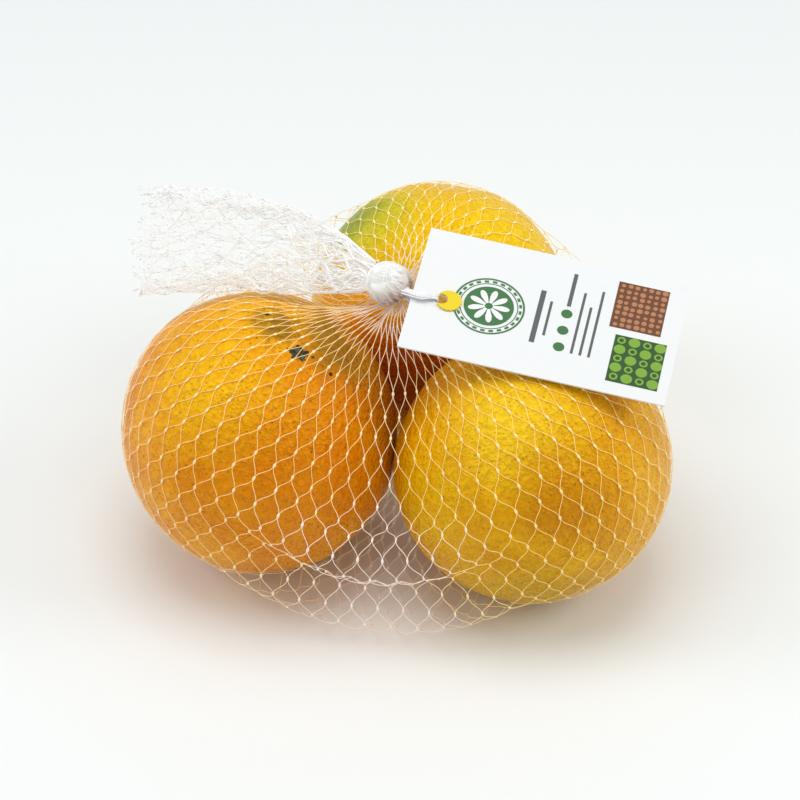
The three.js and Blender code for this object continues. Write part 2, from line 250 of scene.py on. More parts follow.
def film_tints(points, cover):
    """Clear plastic takes the colour of the fruit it lies on, and is white where it hangs free. Near the
    gather it is painted darker, a painted shade where the strands crowd together under the knot.
    """
    points = points.reshape(-1, 3)
    gaps = np.maximum(gap_to_fruits(points), 0.2)
    nearness = gaps**-4.0
    colours = np.array([light(FILM_ON[name]) for name in FRUITS])
    tint = (nearness.T / nearness.sum(0)[:, None]) @ colours
    free = np.clip((gaps.min(0) - FILM_FADE[0]) / (FILM_FADE[1] - FILM_FADE[0]), 0, 1)[:, None]
    tint = blend(tint, light(FILM_FREE), free)
    # painted shade: the film is darkened toward the gather
    near = np.clip(1 - np.linalg.norm(points - GATHER, axis=-1) / GATHER_SHADE_REACH, 0, 1)[:, None]
    tint = blend(tint, light(FILM_GATHER_SHADE), GATHER_SHADE_SHARE * near)
    return blend(tint, light(FILM_WHITE), cover)


def mesh_piece(name, points, faces, material, vectors=None):
    """A smooth mesh object from points in millimetres and an array of faces with equal corners."""
    points = np.asarray(points, np.float32).reshape(-1, 3) * MM
    faces = np.asarray(faces, np.int32)
    mesh = bpy.data.meshes.new(name)
    mesh.vertices.add(len(points))
    mesh.vertices.foreach_set("co", points.ravel())
    mesh.loops.add(faces.size)
    mesh.loops.foreach_set("vertex_index", faces.ravel())
    mesh.polygons.add(len(faces))
    mesh.polygons.foreach_set("loop_start", np.arange(len(faces), dtype=np.int32) * faces.shape[1])
    mesh.polygons.foreach_set("use_smooth", np.ones(len(faces), bool))
    for key, values in (vectors or {}).items():
        layer = mesh.attributes.new(key, "FLOAT_VECTOR", "POINT")
        layer.data.foreach_set("vector", np.asarray(values, np.float32).ravel())
    mesh.update(calc_edges=True)
    mesh.validate()
    mesh.materials.append(material)
    piece = bpy.data.objects.new(name, mesh)
    bpy.context.scene.collection.objects.link(piece)
    return piece


def dress(piece, slot, *nodes):
    """Says what the piece moves with and which nodes it stands for, and hides those nodes. slot is not used.
    """
    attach(piece, "root")
    if nodes:
        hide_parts(*nodes)
    return piece


def unit(v):
    return v / np.maximum(np.linalg.norm(v, axis=-1, keepdims=True), 1e-9)


def turns(count):
    """Angles that go once round in even steps."""
    return 2 * np.pi * np.arange(count) / count


def ways_round(polar, turn, axes):
    """Directions (ring, spoke, xyz) round a pole. axes are the pole and two ways across it."""
    pole, side, front = axes
    out = np.sin(polar)[:, None]
    ways = np.cos(polar)[:, None, None] * pole + (out * np.cos(turn))[..., None] * side
    return ways + (out * np.sin(turn))[..., None] * front


def ring_faces(rings, sides, count=1, clockwise=True):
    """Faces between neighbouring rings of points, for a number of like pieces."""
    index = np.arange(count * rings * sides).reshape(count, rings, sides)
    a, b = index[:, :-1], index[:, 1:]
    c, d = np.roll(b, -1, 2), np.roll(a, -1, 2)
    return np.stack((a, b, c, d) if clockwise else (a, d, c, b), axis=-1).reshape(-1, 4)


def tubes(paths, outward, radius, sides):
    """Round tubes along paths (strand, step, xyz), closed at both ends by a last ring of no width."""
    paths = np.concatenate([paths[:, :1], paths, paths[:, -1:]], axis=1)
    outward = np.concatenate([outward[:, :1], outward, outward[:, -1:]], axis=1)
    along = unit(np.gradient(paths, axis=1))
    across = unit(np.cross(along, outward))
    raised = np.cross(across, along)
    radius = np.broadcast_to(np.asarray(radius, float), paths.shape[:2]).copy()
    radius[:, [0, -1]] = 1e-3
    turn = turns(sides)
    ring = across[:, :, None] * np.cos(turn)[:, None] + raised[:, :, None] * np.sin(turn)[:, None]
    points = paths[:, :, None] + ring * radius[:, :, None, None]
    return points.reshape(-1, 3), ring_faces(paths.shape[1], sides, len(paths), clockwise=False)


def bunched(paths, radius, middle, reach):
    """Radii for tubes, which grow near a point where strands double up and cling together."""
    near = np.exp(-np.linalg.norm(paths - middle, axis=-1) / reach)
    return np.pad(radius * (1 + BUNCHING * near), ((0, 0), (1, 1)), mode="edge")


def joined(*parts):
    """One list of points and faces from several."""
    points, faces, count = [], [], 0
    for p, f in parts:
        points.append(p)
        faces.append(f + count)
        count += len(p)
    return np.concatenate(points), np.concatenate(faces)


def beads(middles, along, outward, size):
    """A small pebble at each middle, stretched by size along, across and outward."""
    along = unit(along)
    across = unit(np.cross(along, outward))
    raised = np.cross(across, along)
    axes = np.stack([along, across, raised], axis=1) * np.asarray(size)[:, None]
    polar = np.linspace(0.02, np.pi - 0.02, BEAD_RINGS)
    ball = ways_round(polar, turns(BEAD_SIDES), np.eye(3)).reshape(-1, 3)
    points = (middles[:, None] + ball @ axes).reshape(-1, 3)
    return points, ring_faces(BEAD_RINGS, BEAD_SIDES, len(middles), clockwise=False)


def waves(points, length, count, seed):
    """Smooth noise of about unit height, as a sum of plane waves of the given length."""
    draw = np.random.default_rng(seed)
    heading = unit(draw.normal(size=(count, 3)))
    pitch = 2 * np.pi / (length * draw.uniform(0.7, 1.4, count))
    phase = draw.uniform(0, 2 * np.pi, count)
    return np.sin(points @ (heading * pitch[:, None]).T + phase).sum(-1) * math.sqrt(2 / count)


# --- fruits as bodies -----------------------------------------------------------------------------


def turn_about(axis, degrees):
    return np.array(Matrix.Rotation(math.radians(degrees), 3, axis))


class FruitBody:
    """An ellipsoid on the ground, with what the net needs to know of it."""

    def __init__(self, place, radii, spin):
        self.turn = turn_about("X", FRUIT_LEAN) @ turn_about("Z", spin)
        self.radii = np.array(radii, float)
        reach_down = np.linalg.norm((self.turn * self.radii).T @ np.array([0, 0, -1.0]))
        self.middle = np.array([*place, reach_down - FRUIT_FLAT])

    def reach(self, normals, grown):
        """How far the body, grown by a little, reaches from the origin along each normal."""
        return normals @ self.middle + np.linalg.norm(normals @ (self.turn * (self.radii + grown)), axis=-1)

    def lift(self, points, gap):
        """Moves the points that are within gap of the body straight out to that gap."""
        own = (points - self.middle) @ self.turn
        radii = self.radii + gap
        ratio = np.linalg.norm(own / radii, axis=-1, keepdims=True)
        slope = own / radii**2
        steep = np.linalg.norm(slope, axis=-1, keepdims=True)
        depth = (ratio - 1) * ratio / np.maximum(steep, 1e-9)
        moved = points - (slope / np.maximum(steep, 1e-9)) @ self.turn.T * depth
        inside = ratio < 1
        return np.where(inside, moved, points), inside[..., 0]


BODIES = {name: FruitBody(**fruit) for name, fruit in FRUITS.items()}


def gap_to_fruits(points):
    """Rough distance from each point to the peel of each fruit."""
    gaps = []
    for body in BODIES.values():
        own = (points - body.middle) @ body.turn / body.radii
        gaps.append((np.linalg.norm(own, axis=-1) - 1) * body.radii.mean())
    return np.stack(gaps)


def outward_at(points):
    """The way out of the pile at each point: away from the fruit that is nearest."""
    aways = np.stack([points - b.middle for b in BODIES.values()])
    nearness = np.linalg.norm(aways, axis=-1) ** -8.0
    return unit((unit(aways) * nearness[..., None]).sum(0))


# --- net ------------------------------------------------------------------------------------------


def even_directions(count):
    """Directions spread evenly over a ball."""
    step = np.arange(count) + 0.5
    polar = np.arccos(1 - 2 * step / count)
    around = np.pi * (1 + 5**0.5) * step
    return np.stack(
        [np.cos(around) * np.sin(polar), np.sin(around) * np.sin(polar), np.cos(polar)], axis=-1
    )


@functools.cache
def skin_reaches():
    """How far the tight skin round fruits, gather and front folds reaches along many normals."""
    normals = even_directions(6000)
    reaches = [b.reach(normals, 0.4) for b in BODIES.values()]
    reaches.append(normals @ (GATHER - [0, 0, GATHER_RADIUS]) + GATHER_RADIUS)
    reaches += [normals @ np.array(fold) + FOLD_RADIUS for fold in FRONT_FOLDS]
    return normals, np.max(reaches, axis=0) - normals @ BAG_MIDDLE


def tight_skin(directions):
    """Points of the tight skin along directions from the bag's middle."""
    normals, reaches = skin_reaches()
    facing = directions @ normals.T
    radius = np.where(facing > 0.05, reaches / np.maximum(facing, 0.05), np.inf).min(-1)
    down = -directions[:, 2]
    ground = np.where(down > 0, (BAG_MIDDLE[2] - 0.3) / np.maximum(down, 1e-9), np.inf)
    return BAG_MIDDLE + directions * np.minimum(radius, ground)[:, None]


def arc_lengths(points):
    """How far along a line each of its points lies."""
    steps = np.linalg.norm(np.diff(points, axis=0), axis=1)
    return np.concatenate([[0], np.cumsum(steps)])


def start_of_net():
    """Net nodes (row, column, xyz) spread over the tight skin, before the net settles."""
    around = np.linspace(0, 2 * np.pi, 721)
    waist = tight_skin(unit(np.stack([np.cos(around), np.sin(around), 0 * around - 0.25], axis=-1)))
    length = arc_lengths(waist)
    azimuths = np.interp(np.arange(2 * COLUMNS) / (2 * COLUMNS) * length[-1], length, around)
    polar = np.linspace(0.02, np.pi - 0.08, 120)
    nodes = np.zeros((BAG_ROWS + 1, COLUMNS, 3))
    for half_column, azimuth in enumerate(azimuths):
        side = np.array([math.cos(azimuth), math.sin(azimuth), 0])
        directions = np.sin(polar)[:, None] * side + np.cos(polar)[:, None] * np.array([0, 0, 1.0])
        line = tight_skin(directions)
        near = np.clip(1 - polar / 0.35, 0, 1)[:, None]
        line = line * (1 - near) + (GATHER + side * GATHER_RADIUS) * near
        length = arc_lengths(line)
        rows = np.arange(half_column % 2, BAG_ROWS + 1, 2)
        places = rows / BAG_ROWS * length[-1]
        nodes[rows, half_column // 2] = np.stack(
            [np.interp(places, length, line[:, k]) for k in range(3)], axis=-1
        )
    turn = 0.5 * np.unwrap(azimuths[::2]) + np.pi * np.arange(COLUMNS) / COLUMNS
    axis = unit(GATHER_AXIS)
    first = unit(np.cross([0, 1, 0], axis))
    second = np.cross(axis, first)
    nodes[0] = GATHER + GATHER_RADIUS * (np.outer(np.cos(turn), first) + np.outer(np.sin(turn), second))
    nodes[0] += np.outer(np.random.default_rng(SEED + 2).uniform(-1.5, 3.5, COLUMNS), axis)
    last = azimuths[BAG_ROWS % 2 :: 2]
    nodes[-1] = CLOSURE + CLOSURE_RADIUS * np.stack([np.cos(last), np.sin(last), 0 * last], axis=-1)
    return nodes


def strand_pairs(rows, columns):
    """The strands as four lists of (row, column, next row, next column) that share no node."""
    pairs = []
    for odd in (0, 1):
        row, column = np.meshgrid(np.arange(odd, rows, 2), np.arange(columns), indexing="ij")
        pairs.append((row, column, row + 1, column))
        pairs.append((row, column, row + 1, (column + (1 if odd else -1)) % columns))
    return pairs


def cross_pairs(rows, columns):
    """Neighbours in a row, and nodes two rows apart, which hold the meshes open."""
    wide, tall = [], []
    for odd in (0, 1):
        row, column = np.meshgrid(np.arange(1, rows), np.arange(odd, columns, 2), indexing="ij")
        wide.append((row, column, row, (column + 1) % columns))
        starts = [r for r in range(rows - 1) if r % 4 // 2 == odd]
        row, column = np.meshgrid(starts, np.arange(columns), indexing="ij")
        tall.append((row, column, row + 2, column))
    return wide, tall


def hold(nodes, free, pair, rest, pull, push):
    """Moves pairs of nodes to their rest length, by one share if too far and another if too near."""
    a, b = nodes[pair[0], pair[1]], nodes[pair[2], pair[3]]
    gap = b - a
    length = np.linalg.norm(gap, axis=-1)
    free_a, free_b = free[pair[0], pair[1]], free[pair[2], pair[3]]
    stiff = np.where(length > rest, pull, push)
    share = (length - rest) / np.maximum(length, 1e-6) * stiff / np.maximum(free_a + free_b, 1e-9)
    nodes[pair[0], pair[1]] += gap * (share * free_a)[..., None]
    nodes[pair[2], pair[3]] -= gap * (share * free_b)[..., None]


@functools.cache
def settled_net(side):
    """Lets the net settle over the fruits and on the ground, and gives its nodes."""
    nodes = start_of_net()
    free = np.ones(nodes.shape[:2])
    free[[0, -1]] = 0
    strands = strand_pairs(BAG_ROWS, COLUMNS)
    wide, tall = cross_pairs(BAG_ROWS, COLUMNS)
    rows = np.arange(BAG_ROWS + 1)
    open_above = 2 * np.pi * (GATHER_RADIUS + 1 + ROW_PITCH * rows) / COLUMNS
    open_below = 2 * np.pi * (CLOSURE_RADIUS + ROW_PITCH * rows[::-1]) / COLUMNS
    width = np.minimum(RELAXED_WIDTH, np.minimum(open_above, open_below))
    height = 2 * np.sqrt(side**2 - (width / 2) ** 2)

    speed = np.zeros_like(nodes)
    for moment in range(FALL_MOMENTS):
        before = nodes.copy()
        speed[..., 2] -= FALL_PULL * min(1, (moment + 1) / FALL_EASED) * FALL_STEP
        speed *= FALL_DRAG
        nodes += speed * FALL_STEP * free[..., None]
        touching = np.zeros(free.shape, bool)
        lying = np.zeros(free.shape, bool)
        for turn in range(FALL_ROUNDS):
            for pair in strands if turn % 2 == 0 else strands[::-1]:
                hold(nodes, free, pair, side, *STRAND_HOLD)
            for pair in wide:
                hold(nodes, free, pair, width[pair[0]], ROW_HOLD, ROW_HOLD)
            for pair in tall:
                hold(nodes, free, pair, height[pair[0] + 1], COLUMN_HOLD, COLUMN_HOLD)
            for body in BODIES.values():
                lifted, inside = body.lift(nodes, NET_CLEAR)
                inside &= free > 0
                nodes[inside] = lifted[inside]
                touching |= inside
            low = (nodes[..., 2] < NET_CLEAR) & (free > 0)
            nodes[low, 2] = NET_CLEAR
            lying |= low
        speed = (nodes - before) / FALL_STEP
        speed[touching] *= SLIP_ON_PEEL
        speed[lying, :2] *= SLIP_ON_GROUND
        nodes[lying, :2] = before[lying, :2] + (nodes - before)[lying, :2] * SLIP_ON_GROUND
        fastest = np.linalg.norm(speed, axis=-1, keepdims=True)
        speed *= np.minimum(1, FALL_FASTEST / np.maximum(fastest, 1e-6))
    return nodes


def mesh_axes(nodes):
    """At each node, the way that its two strands run side by side, down the column."""
    rows = nodes.shape[0]
    up, down = np.zeros_like(nodes), np.zeros_like(nodes)
    for row in range(rows):
        beside = 1 if row % 2 else -1
        if row > 0:
            up[row] = (nodes[row - 1] + np.roll(nodes[row - 1], -beside, 0)) / 2
        if row < rows - 1:
            down[row] = (nodes[row + 1] + np.roll(nodes[row + 1], -beside, 0)) / 2
    up[0] = 2 * nodes[0] - down[0]
    down[-1] = 2 * nodes[-1] - up[-1]
    return unit(down - up)


def net_paths(nodes, lean, bow):
    """Every strand that winds one way down the net, as a smooth line that runs true through its nodes."""
    rows, columns = nodes.shape[0] - 1, nodes.shape[1]
    axes = mesh_axes(nodes)
    column = np.arange(columns)
    t = np.linspace(0, 1, STRAND_STEPS, endpoint=False)[:, None, None]
    parts = []
    for row in range(rows):
        shift = lean if (row % 2 == (1 if lean > 0 else 0)) else 0
        after = (column + shift) % columns
        a, b = nodes[row, column], nodes[row + 1, after]
        reach = bow * np.linalg.norm(b - a, axis=-1, keepdims=True)
        out, into = axes[row, column] * reach, axes[row + 1, after] * reach
        parts.append(
            (2 * t**3 - 3 * t**2 + 1) * a
            + (t**3 - 2 * t**2 + t) * out
            + (3 * t**2 - 2 * t**3) * b
            + (t**3 - t**2) * into
        )
        column = after
    parts.append(nodes[rows, column][None])
    return np.concatenate(parts).transpose(1, 0, 2)


def lay_on_fruits(points, gap):
    """Moves points that are too near to a fruit or the ground out to a gap from it."""
    for body in BODIES.values():
        points = body.lift(points, gap)[0]
    points[..., 2] = np.maximum(points[..., 2], gap)
    return points


# --- tail and knot --------------------------------------------------------------------------------


def smooth_line(marks, steps):
    """A smooth line through marks, with a number of steps between each two."""
    ends = [2 * marks[0] - marks[1]], [2 * marks[-1] - marks[-2]]
    padded = np.concatenate([ends[0], marks, ends[1]])
    t = np.linspace(0, 1, steps, endpoint=False)[:, None]
    parts = []
    for k in range(1, len(padded) - 2):
        a, b, c, d = padded[k - 1 : k + 3]
        cubic = (2 * a - 5 * b + 4 * c - d) * t**2 + (3 * b - a - 3 * c + d) * t**3
        parts.append(0.5 * (2 * b + (c - a) * t + cubic))
    return np.concatenate([*parts, marks[-1:]])


def bezier(control, t):
    t = np.asarray(t, float)[..., None]
    a, b, c, d = control
    return (1 - t) ** 3 * a + 3 * t * (1 - t) ** 2 * b + 3 * t**2 * (1 - t) * c + t**3 * d


def fan_axes():
    """The two ways across the tail: along the fan's width, and out of its face."""
    roll = math.radians(TAIL_ROLL)
    return np.array([0, math.cos(roll), math.sin(roll)]), np.array([0, -math.sin(roll), math.cos(roll)])


def fan_section(t):
    """Half width and half height of the fan, at a share of the way along it."""
    (width, wider), (height, higher) = TAIL_HALF
    return width + wider * (1 - (1 - t) ** 2.2), height + higher * t


def cone_paths():
    """Strands that are drawn tight between the knot and the fan, where its meshes are shut."""
    draw = np.random.default_rng(SEED + 4)
    across, raised = fan_axes()
    count = CONE_STRANDS
    turn = 2 * np.pi * (np.arange(count) + draw.uniform(-0.5, 0.5, count)) / count
    low, high = CONE_REACH
    reach = low + (high - low) * draw.random(count) ** 1.5
    steps = np.linspace(0, 1, 14)
    t = reach[:, None] * steps
    wide, tall = fan_section(t)
    bend = turn[:, None] + draw.normal(0, 0.5, (count, 1)) * steps**2
    bend += 0.12 * np.sin(draw.uniform(3, 9, (count, 1)) * steps + draw.uniform(0, 6, (count, 1)))
    shut = 0.6 + 0.4 * np.minimum(t / 0.08, 1)
    depth = draw.uniform(0.35, 1.0, (count, 1))
    paths = bezier(TAIL_BEND, t) + across * (shut * wide * np.cos(bend))[..., None]
    return paths + raised * (shut * tall * depth * np.sin(bend))[..., None]


@functools.cache
def tail_nodes(side):
    """Net nodes of the cut end, crumpled together into a flat fan."""
    draw = np.random.default_rng(SEED)
    row, column = np.meshgrid(np.arange(TAIL_ROWS + 1), np.arange(COLUMNS), indexing="ij")
    turn = 2 * np.pi * (column + (row % 2) / 2) / COLUMNS
    across, raised = fan_axes()
    spacing = 0.6 + 0.4 * np.linspace(1, 0, TAIL_ROWS) ** 0.8  # rows lie closer toward the cut end
    t = (np.concatenate([[0], np.cumsum(spacing)]) / spacing.sum())[row]
    wide, high = fan_section(t)
    fold = np.sin(2 * np.pi * TAIL_PLEATS * turn / np.pi + 3 * t)
    nodes = bezier(TAIL_BEND, t)
    nodes = nodes + across * (wide * np.cos(turn))[..., None]
    nodes = nodes + raised * (high * (0.5 * np.sin(turn) + 0.5 * fold))[..., None]
    nodes += draw.normal(size=nodes.shape) * (TAIL_CRUMPLE * t)[..., None]
    # the cut edge is ragged, and reaches further at the back
    nodes[..., 0] += t**1.5 * np.convolve(draw.normal(size=COLUMNS + 4), np.ones(5), "valid")
    nodes[..., 0] += 6.0 * t**3 * np.maximum(np.cos(turn) - 0.3, 0)
    free = np.ones(t.shape)
    free[0] = 0
    stations = np.linspace(0, 1, 60)
    spine = bezier(TAIL_BEND, stations)
    strands = strand_pairs(TAIL_ROWS, COLUMNS)
    for _ in range(TAIL_EASING):
        for pair in strands:
            hold(nodes, free, pair, side, *TAIL_HOLD)
        along = np.interp(-nodes[..., 0], -spine[:, 0], stations)
        middle = bezier(TAIL_BEND, along)
        offset = nodes - middle
        flat, tall = offset @ across, offset @ raised
        wide, high = fan_section(along)
        excess = np.maximum(np.hypot(flat / wide, tall / high), 1)
        moved = middle + across * (flat / excess)[..., None] + raised * (tall / excess)[..., None]
        moved[..., 0] = nodes[..., 0]
        nodes[1:] = moved[1:]
    return nodes


def knot_axes():
    """The way from the knot to the gathered net, and two ways across it."""
    foot = unit(GATHER - KNOT)
    first = unit(np.cross(foot, [0, 1, 0.2]))
    return foot, first, np.cross(foot, first)


def on_knot(directions, radius):
    """Points of the knot along directions from its middle, with the dimple at its foot."""
    polar = np.arccos(np.clip(directions @ knot_axes()[0], -1, 1))
    drawn = radius * (1 - KNOT_DIMPLE * np.exp(-((polar / 0.6) ** 2)))
    return KNOT + directions * drawn[..., None] * [KNOT_WIDER, 1, 1]


def knot_shade_tints(points, depth):
    """White film on the knot's crown, and painted brownish shade in furrows where the strands run into its
    foot.
    """
    away = unit(points.reshape(-1, 3) - KNOT)
    foot, first, second = knot_axes()
    polar = np.arccos(np.clip(away @ foot, -1, 1))
    around = np.arctan2(away @ second, away @ first)
    shade_streak = 0.5 + 0.5 * np.sin(KNOT_SHADE_STREAKS * around + 3 * np.sin(7 * around) + 2.5 * polar)
    near_foot = np.clip((KNOT_CROWN - polar) / 1.1, 0, 1)
    share = near_foot * (0.15 + 0.85 * np.maximum(shade_streak, depth))
    return blend(light(FILM_WHITE), light(KNOT_FOOT_SHADE), share[:, None])


def knot_paths():
    """Strands over the knot: some wound across it, and more that sweep up it from the gathered net."""
    draw = np.random.default_rng(SEED + 1)
    foot, first, second = knot_axes()
    steps = np.linspace(0, 1, 22)

    def way_to(polar, turn):
        ring = np.cos(turn)[..., None] * first + np.sin(turn)[..., None] * second
        return np.cos(polar)[..., None] * foot + np.sin(polar)[..., None] * ring

    count = KNOT_SWEEPS
    turn = 2 * np.pi * (np.arange(count) + draw.uniform(-0.4, 0.4, count)) / count
    reach = draw.uniform(1.3, 2.4, count)
    twist = draw.normal(0.5, 0.3, count)
    polar = 0.10 + reach[:, None] * steps
    depth = KNOT_RADIUS * (1 - 0.05 * draw.random((count, 1)) - 0.12 * steps**6)
    sweeps = on_knot(way_to(polar, turn[:, None] + twist[:, None] * steps**1.5), depth)

    count = KNOT_WINDS
    normal = way_to(draw.uniform(0.9, 1.35, count), draw.uniform(0, 2 * np.pi, count))
    crown = unit(np.cross(np.cross(normal, -foot), normal))
    sideways = np.cross(normal, crown)
    sweep = draw.uniform(1.2, 2.4, count)[:, None] * (steps - 0.5)
    way = np.cos(sweep)[..., None] * crown[:, None] + np.sin(sweep)[..., None] * sideways[:, None]
    depth = KNOT_RADIUS * (1.0 - 0.2 * (2 * steps - 1) ** 6)[None] * draw.uniform(0.95, 1.0, (count, 1))
    winds = on_knot(way, depth)

    share = steps[None, :, None]
    ring = np.tile(settled_net(net_side())[0], (2, 1))
    turn = np.arctan2((ring - KNOT) @ second, (ring - KNOT) @ first)
    collar = on_knot(way_to(draw.uniform(0.3, 0.6, len(ring)), turn), np.full(len(ring), KNOT_RADIUS))
    neck = ring[:, None] * (1 - share) + collar[:, None] * share
    leave = np.tile(tail_nodes(net_side())[0], (2, 1))
    inner = KNOT + unit(leave - KNOT) * (KNOT_RADIUS - 1.5)
    tail = inner[:, None] * (1 - share) + leave[:, None] * share
    return np.concatenate([sweeps, winds, neck, tail])


# --- shader groups --------------------------------------------------------------------------------


class Tree:
    """Adds nodes to a node tree by their type, with values and links given by socket name."""

    def __init__(self, tree):
        self.tree = tree

    def put(self, node, values):
        for key, value in values.items():
            socket = node.inputs[key]
            if isinstance(value, bpy.types.NodeSocket):
                self.tree.links.new(value, socket)
            else:
                socket.default_value = value

    def add(self, kind, values=None, **choices):
        node = self.tree.nodes.new(kind)
        for key, value in choices.items():
            setattr(node, key, value)
        self.put(node, values or {})
        return node

    def placed(self, group, values):
        return self.add("ShaderNodeGroup", values, node_tree=group).outputs

    def math(self, operation, a, b=0.0, c=0.0, clamp=False):
        values = {0: a, 1: b, 2: c}
        return self.add("ShaderNodeMath", values, operation=operation, use_clamp=clamp).outputs[0]

    def mix(self, share, a, b):
        node = self.add("ShaderNodeMix", {0: share, 6: a, 7: b}, data_type="RGBA")
        return node.outputs[2]

    def ramp(self, value, low, high):
        node = self.add("ShaderNodeMapRange", {0: value, 1: low, 2: high}, interpolation_type="SMOOTHSTEP")
        return node.outputs[0]

    def noise(self, where, scale, detail, roughness):
        values = {"Vector": where, "Scale": scale, "Detail": detail, "Roughness": roughness}
        return self.add("ShaderNodeTexNoise", values).outputs["Fac"]

    def cells(self, where, scale):
        """Distance from the middle of the nearest cell, and a random number for that cell."""
        cells = self.add("ShaderNodeTexVoronoi", {"Vector": where, "Scale": scale}, feature="F1").outputs
        drawn = self.add("ShaderNodeSeparateColor", {0: cells["Color"]}).outputs["Red"]
        return cells["Distance"], drawn

    def multiplied(self, a, b):
        return self.add("ShaderNodeMixRGB", {0: 1.0, 1: a, 2: b}, blend_type="MULTIPLY").outputs[0]

    def rough(self, mask, share, base):
        return self.math("ADD", self.math("MULTIPLY", mask, share), base)

    def bump(self, height, distance):
        values = {"Height": height, "Distance": distance, "Strength": 1.0}
        return self.add("ShaderNodeBump", values).outputs[0]


def shader_group(name, points, numbers, masks, build):
    """A shader node group, built once. Points and numbers with their defaults go in, masks come out."""
    if name in bpy.data.node_groups:
        return bpy.data.node_groups[name]
    group = bpy.data.node_groups.new(name, "ShaderNodeTree")
    for label in points:
        group.interface.new_socket(label, in_out="INPUT", socket_type="NodeSocketVector")
    for label, value in numbers.items():
        socket = group.interface.new_socket(label, in_out="INPUT", socket_type="NodeSocketFloat")
        socket.default_value = value
    for label in masks:
        group.interface.new_socket(label, in_out="OUTPUT", socket_type="NodeSocketFloat")
    tree = Tree(group)
    given = tree.add("NodeGroupInput").outputs
    tree.add("NodeGroupOutput", build(tree, given))
    return group


def pitted_peel():
    """Oil glands of citrus peel: fine pits and low pebbles on gentle swellings."""

    def build(tree, given):
        where = given["Where"]
        scale = tree.math("DIVIDE", 1.0, given["Spacing"])
        distance, size = tree.cells(where, scale)
        raised = tree.ramp(size, 0.35, 0.55)
        dome = tree.math("MULTIPLY", tree.ramp(distance, 0.66, 0.10), raised)
        lowered = tree.math("SUBTRACT", 1.0, raised)
        pit = tree.math("MULTIPLY", tree.ramp(distance, 0.36, 0.05), lowered)
        swell = tree.noise(where, tree.math("MULTIPLY", scale, 0.62), 2.0, 0.55)
        body = tree.math("MULTIPLY_ADD", dome, 0.10, swell)
        height = tree.math("MULTIPLY_ADD", pit, -0.22, body)
        return {"Height": height, "Pit": pit, "Swell": tree.ramp(body, 0.44, 0.64)}

    return shader_group("Pitted peel", ["Where"], {"Spacing": 0.0013}, ["Height", "Pit", "Swell"], build)


def blotch():
    """A soft-edged patch round a point, broken up by noise. Mask is 0 to 1."""

    def build(tree, given):
        away = tree.add(
            "ShaderNodeVectorMath", {0: given["Where"], 1: given["Middle"]}, operation="DISTANCE"
        ).outputs["Value"]
        broken = tree.noise(given["Where"], given["Grain"], 4.0, 0.6)
        spread = tree.math("MULTIPLY", tree.math("SUBTRACT", broken, 0.5), given["Raggedness"])
        edge = tree.math("ADD", tree.math("DIVIDE", away, given["Radius"]), spread)
        return {"Mask": tree.ramp(edge, 1.0, given["Core"])}

    numbers = {"Radius": 0.02, "Core": 0.4, "Grain": 90.0, "Raggedness": 0.8}
    return shader_group("Soft blotch", ["Where", "Middle"], numbers, ["Mask"], build)


def specks():
    """Small dark dots of uneven size, each in a cell of its own. Mask is 0 to 1."""

    def build(tree, given):
        distance, size = tree.cells(given["Where"], given["Scale"])
        kept = tree.math("SUBTRACT", size, tree.math("SUBTRACT", 1.0, given["Amount"]))
        reach = tree.math("MULTIPLY", tree.math("MAXIMUM", kept, 0.0), given["Size"])
        inside = tree.math("SUBTRACT", reach, distance)
        return {"Mask": tree.math("MULTIPLY", inside, 14.0, clamp=True)}

    return shader_group("Specks", ["Where"], {"Scale": 500.0, "Amount": 0.3, "Size": 0.6}, ["Mask"], build)


def drawn_fibre():
    """Faint cloudiness of drawn plastic or pressed paper. Value runs from 0 to 1."""

    def build(tree, given):
        coarse = tree.noise(given["Where"], given["Scale"], 3.0, 0.6)
        fine = tree.noise(given["Where"], tree.math("MULTIPLY", given["Scale"], 6.0), 2.0, 0.5)
        return {"Value": tree.math("MULTIPLY_ADD", coarse, 0.6, tree.math("MULTIPLY", fine, 0.4))}

    return shader_group("Drawn fibre", ["Where"], {"Scale": 200.0}, ["Value"], build)


# --- materials ------------------------------------------------------------------------------------


def new_material(name):
    material = bpy.data.materials.new(name)
    material.use_nodes = True
    tree = Tree(material.node_tree)
    return material, tree, material.node_tree.nodes["Principled BSDF"]


def clouded(tree, scale):
    """Cloudiness all over an object, from 0 to 1."""
    where = tree.add("ShaderNodeTexCoord").outputs["Object"]
    return tree.placed(drawn_fibre(), {"Where": where, "Scale": scale})["Value"]


def own_point(name, direction):
    """A point of a fruit's surface, in metres in the fruit's own axes, from a direction in the frame."""
    body = BODIES[name]
    return tuple(unit(np.array(direction, float)) @ body.turn * body.radii * MM)


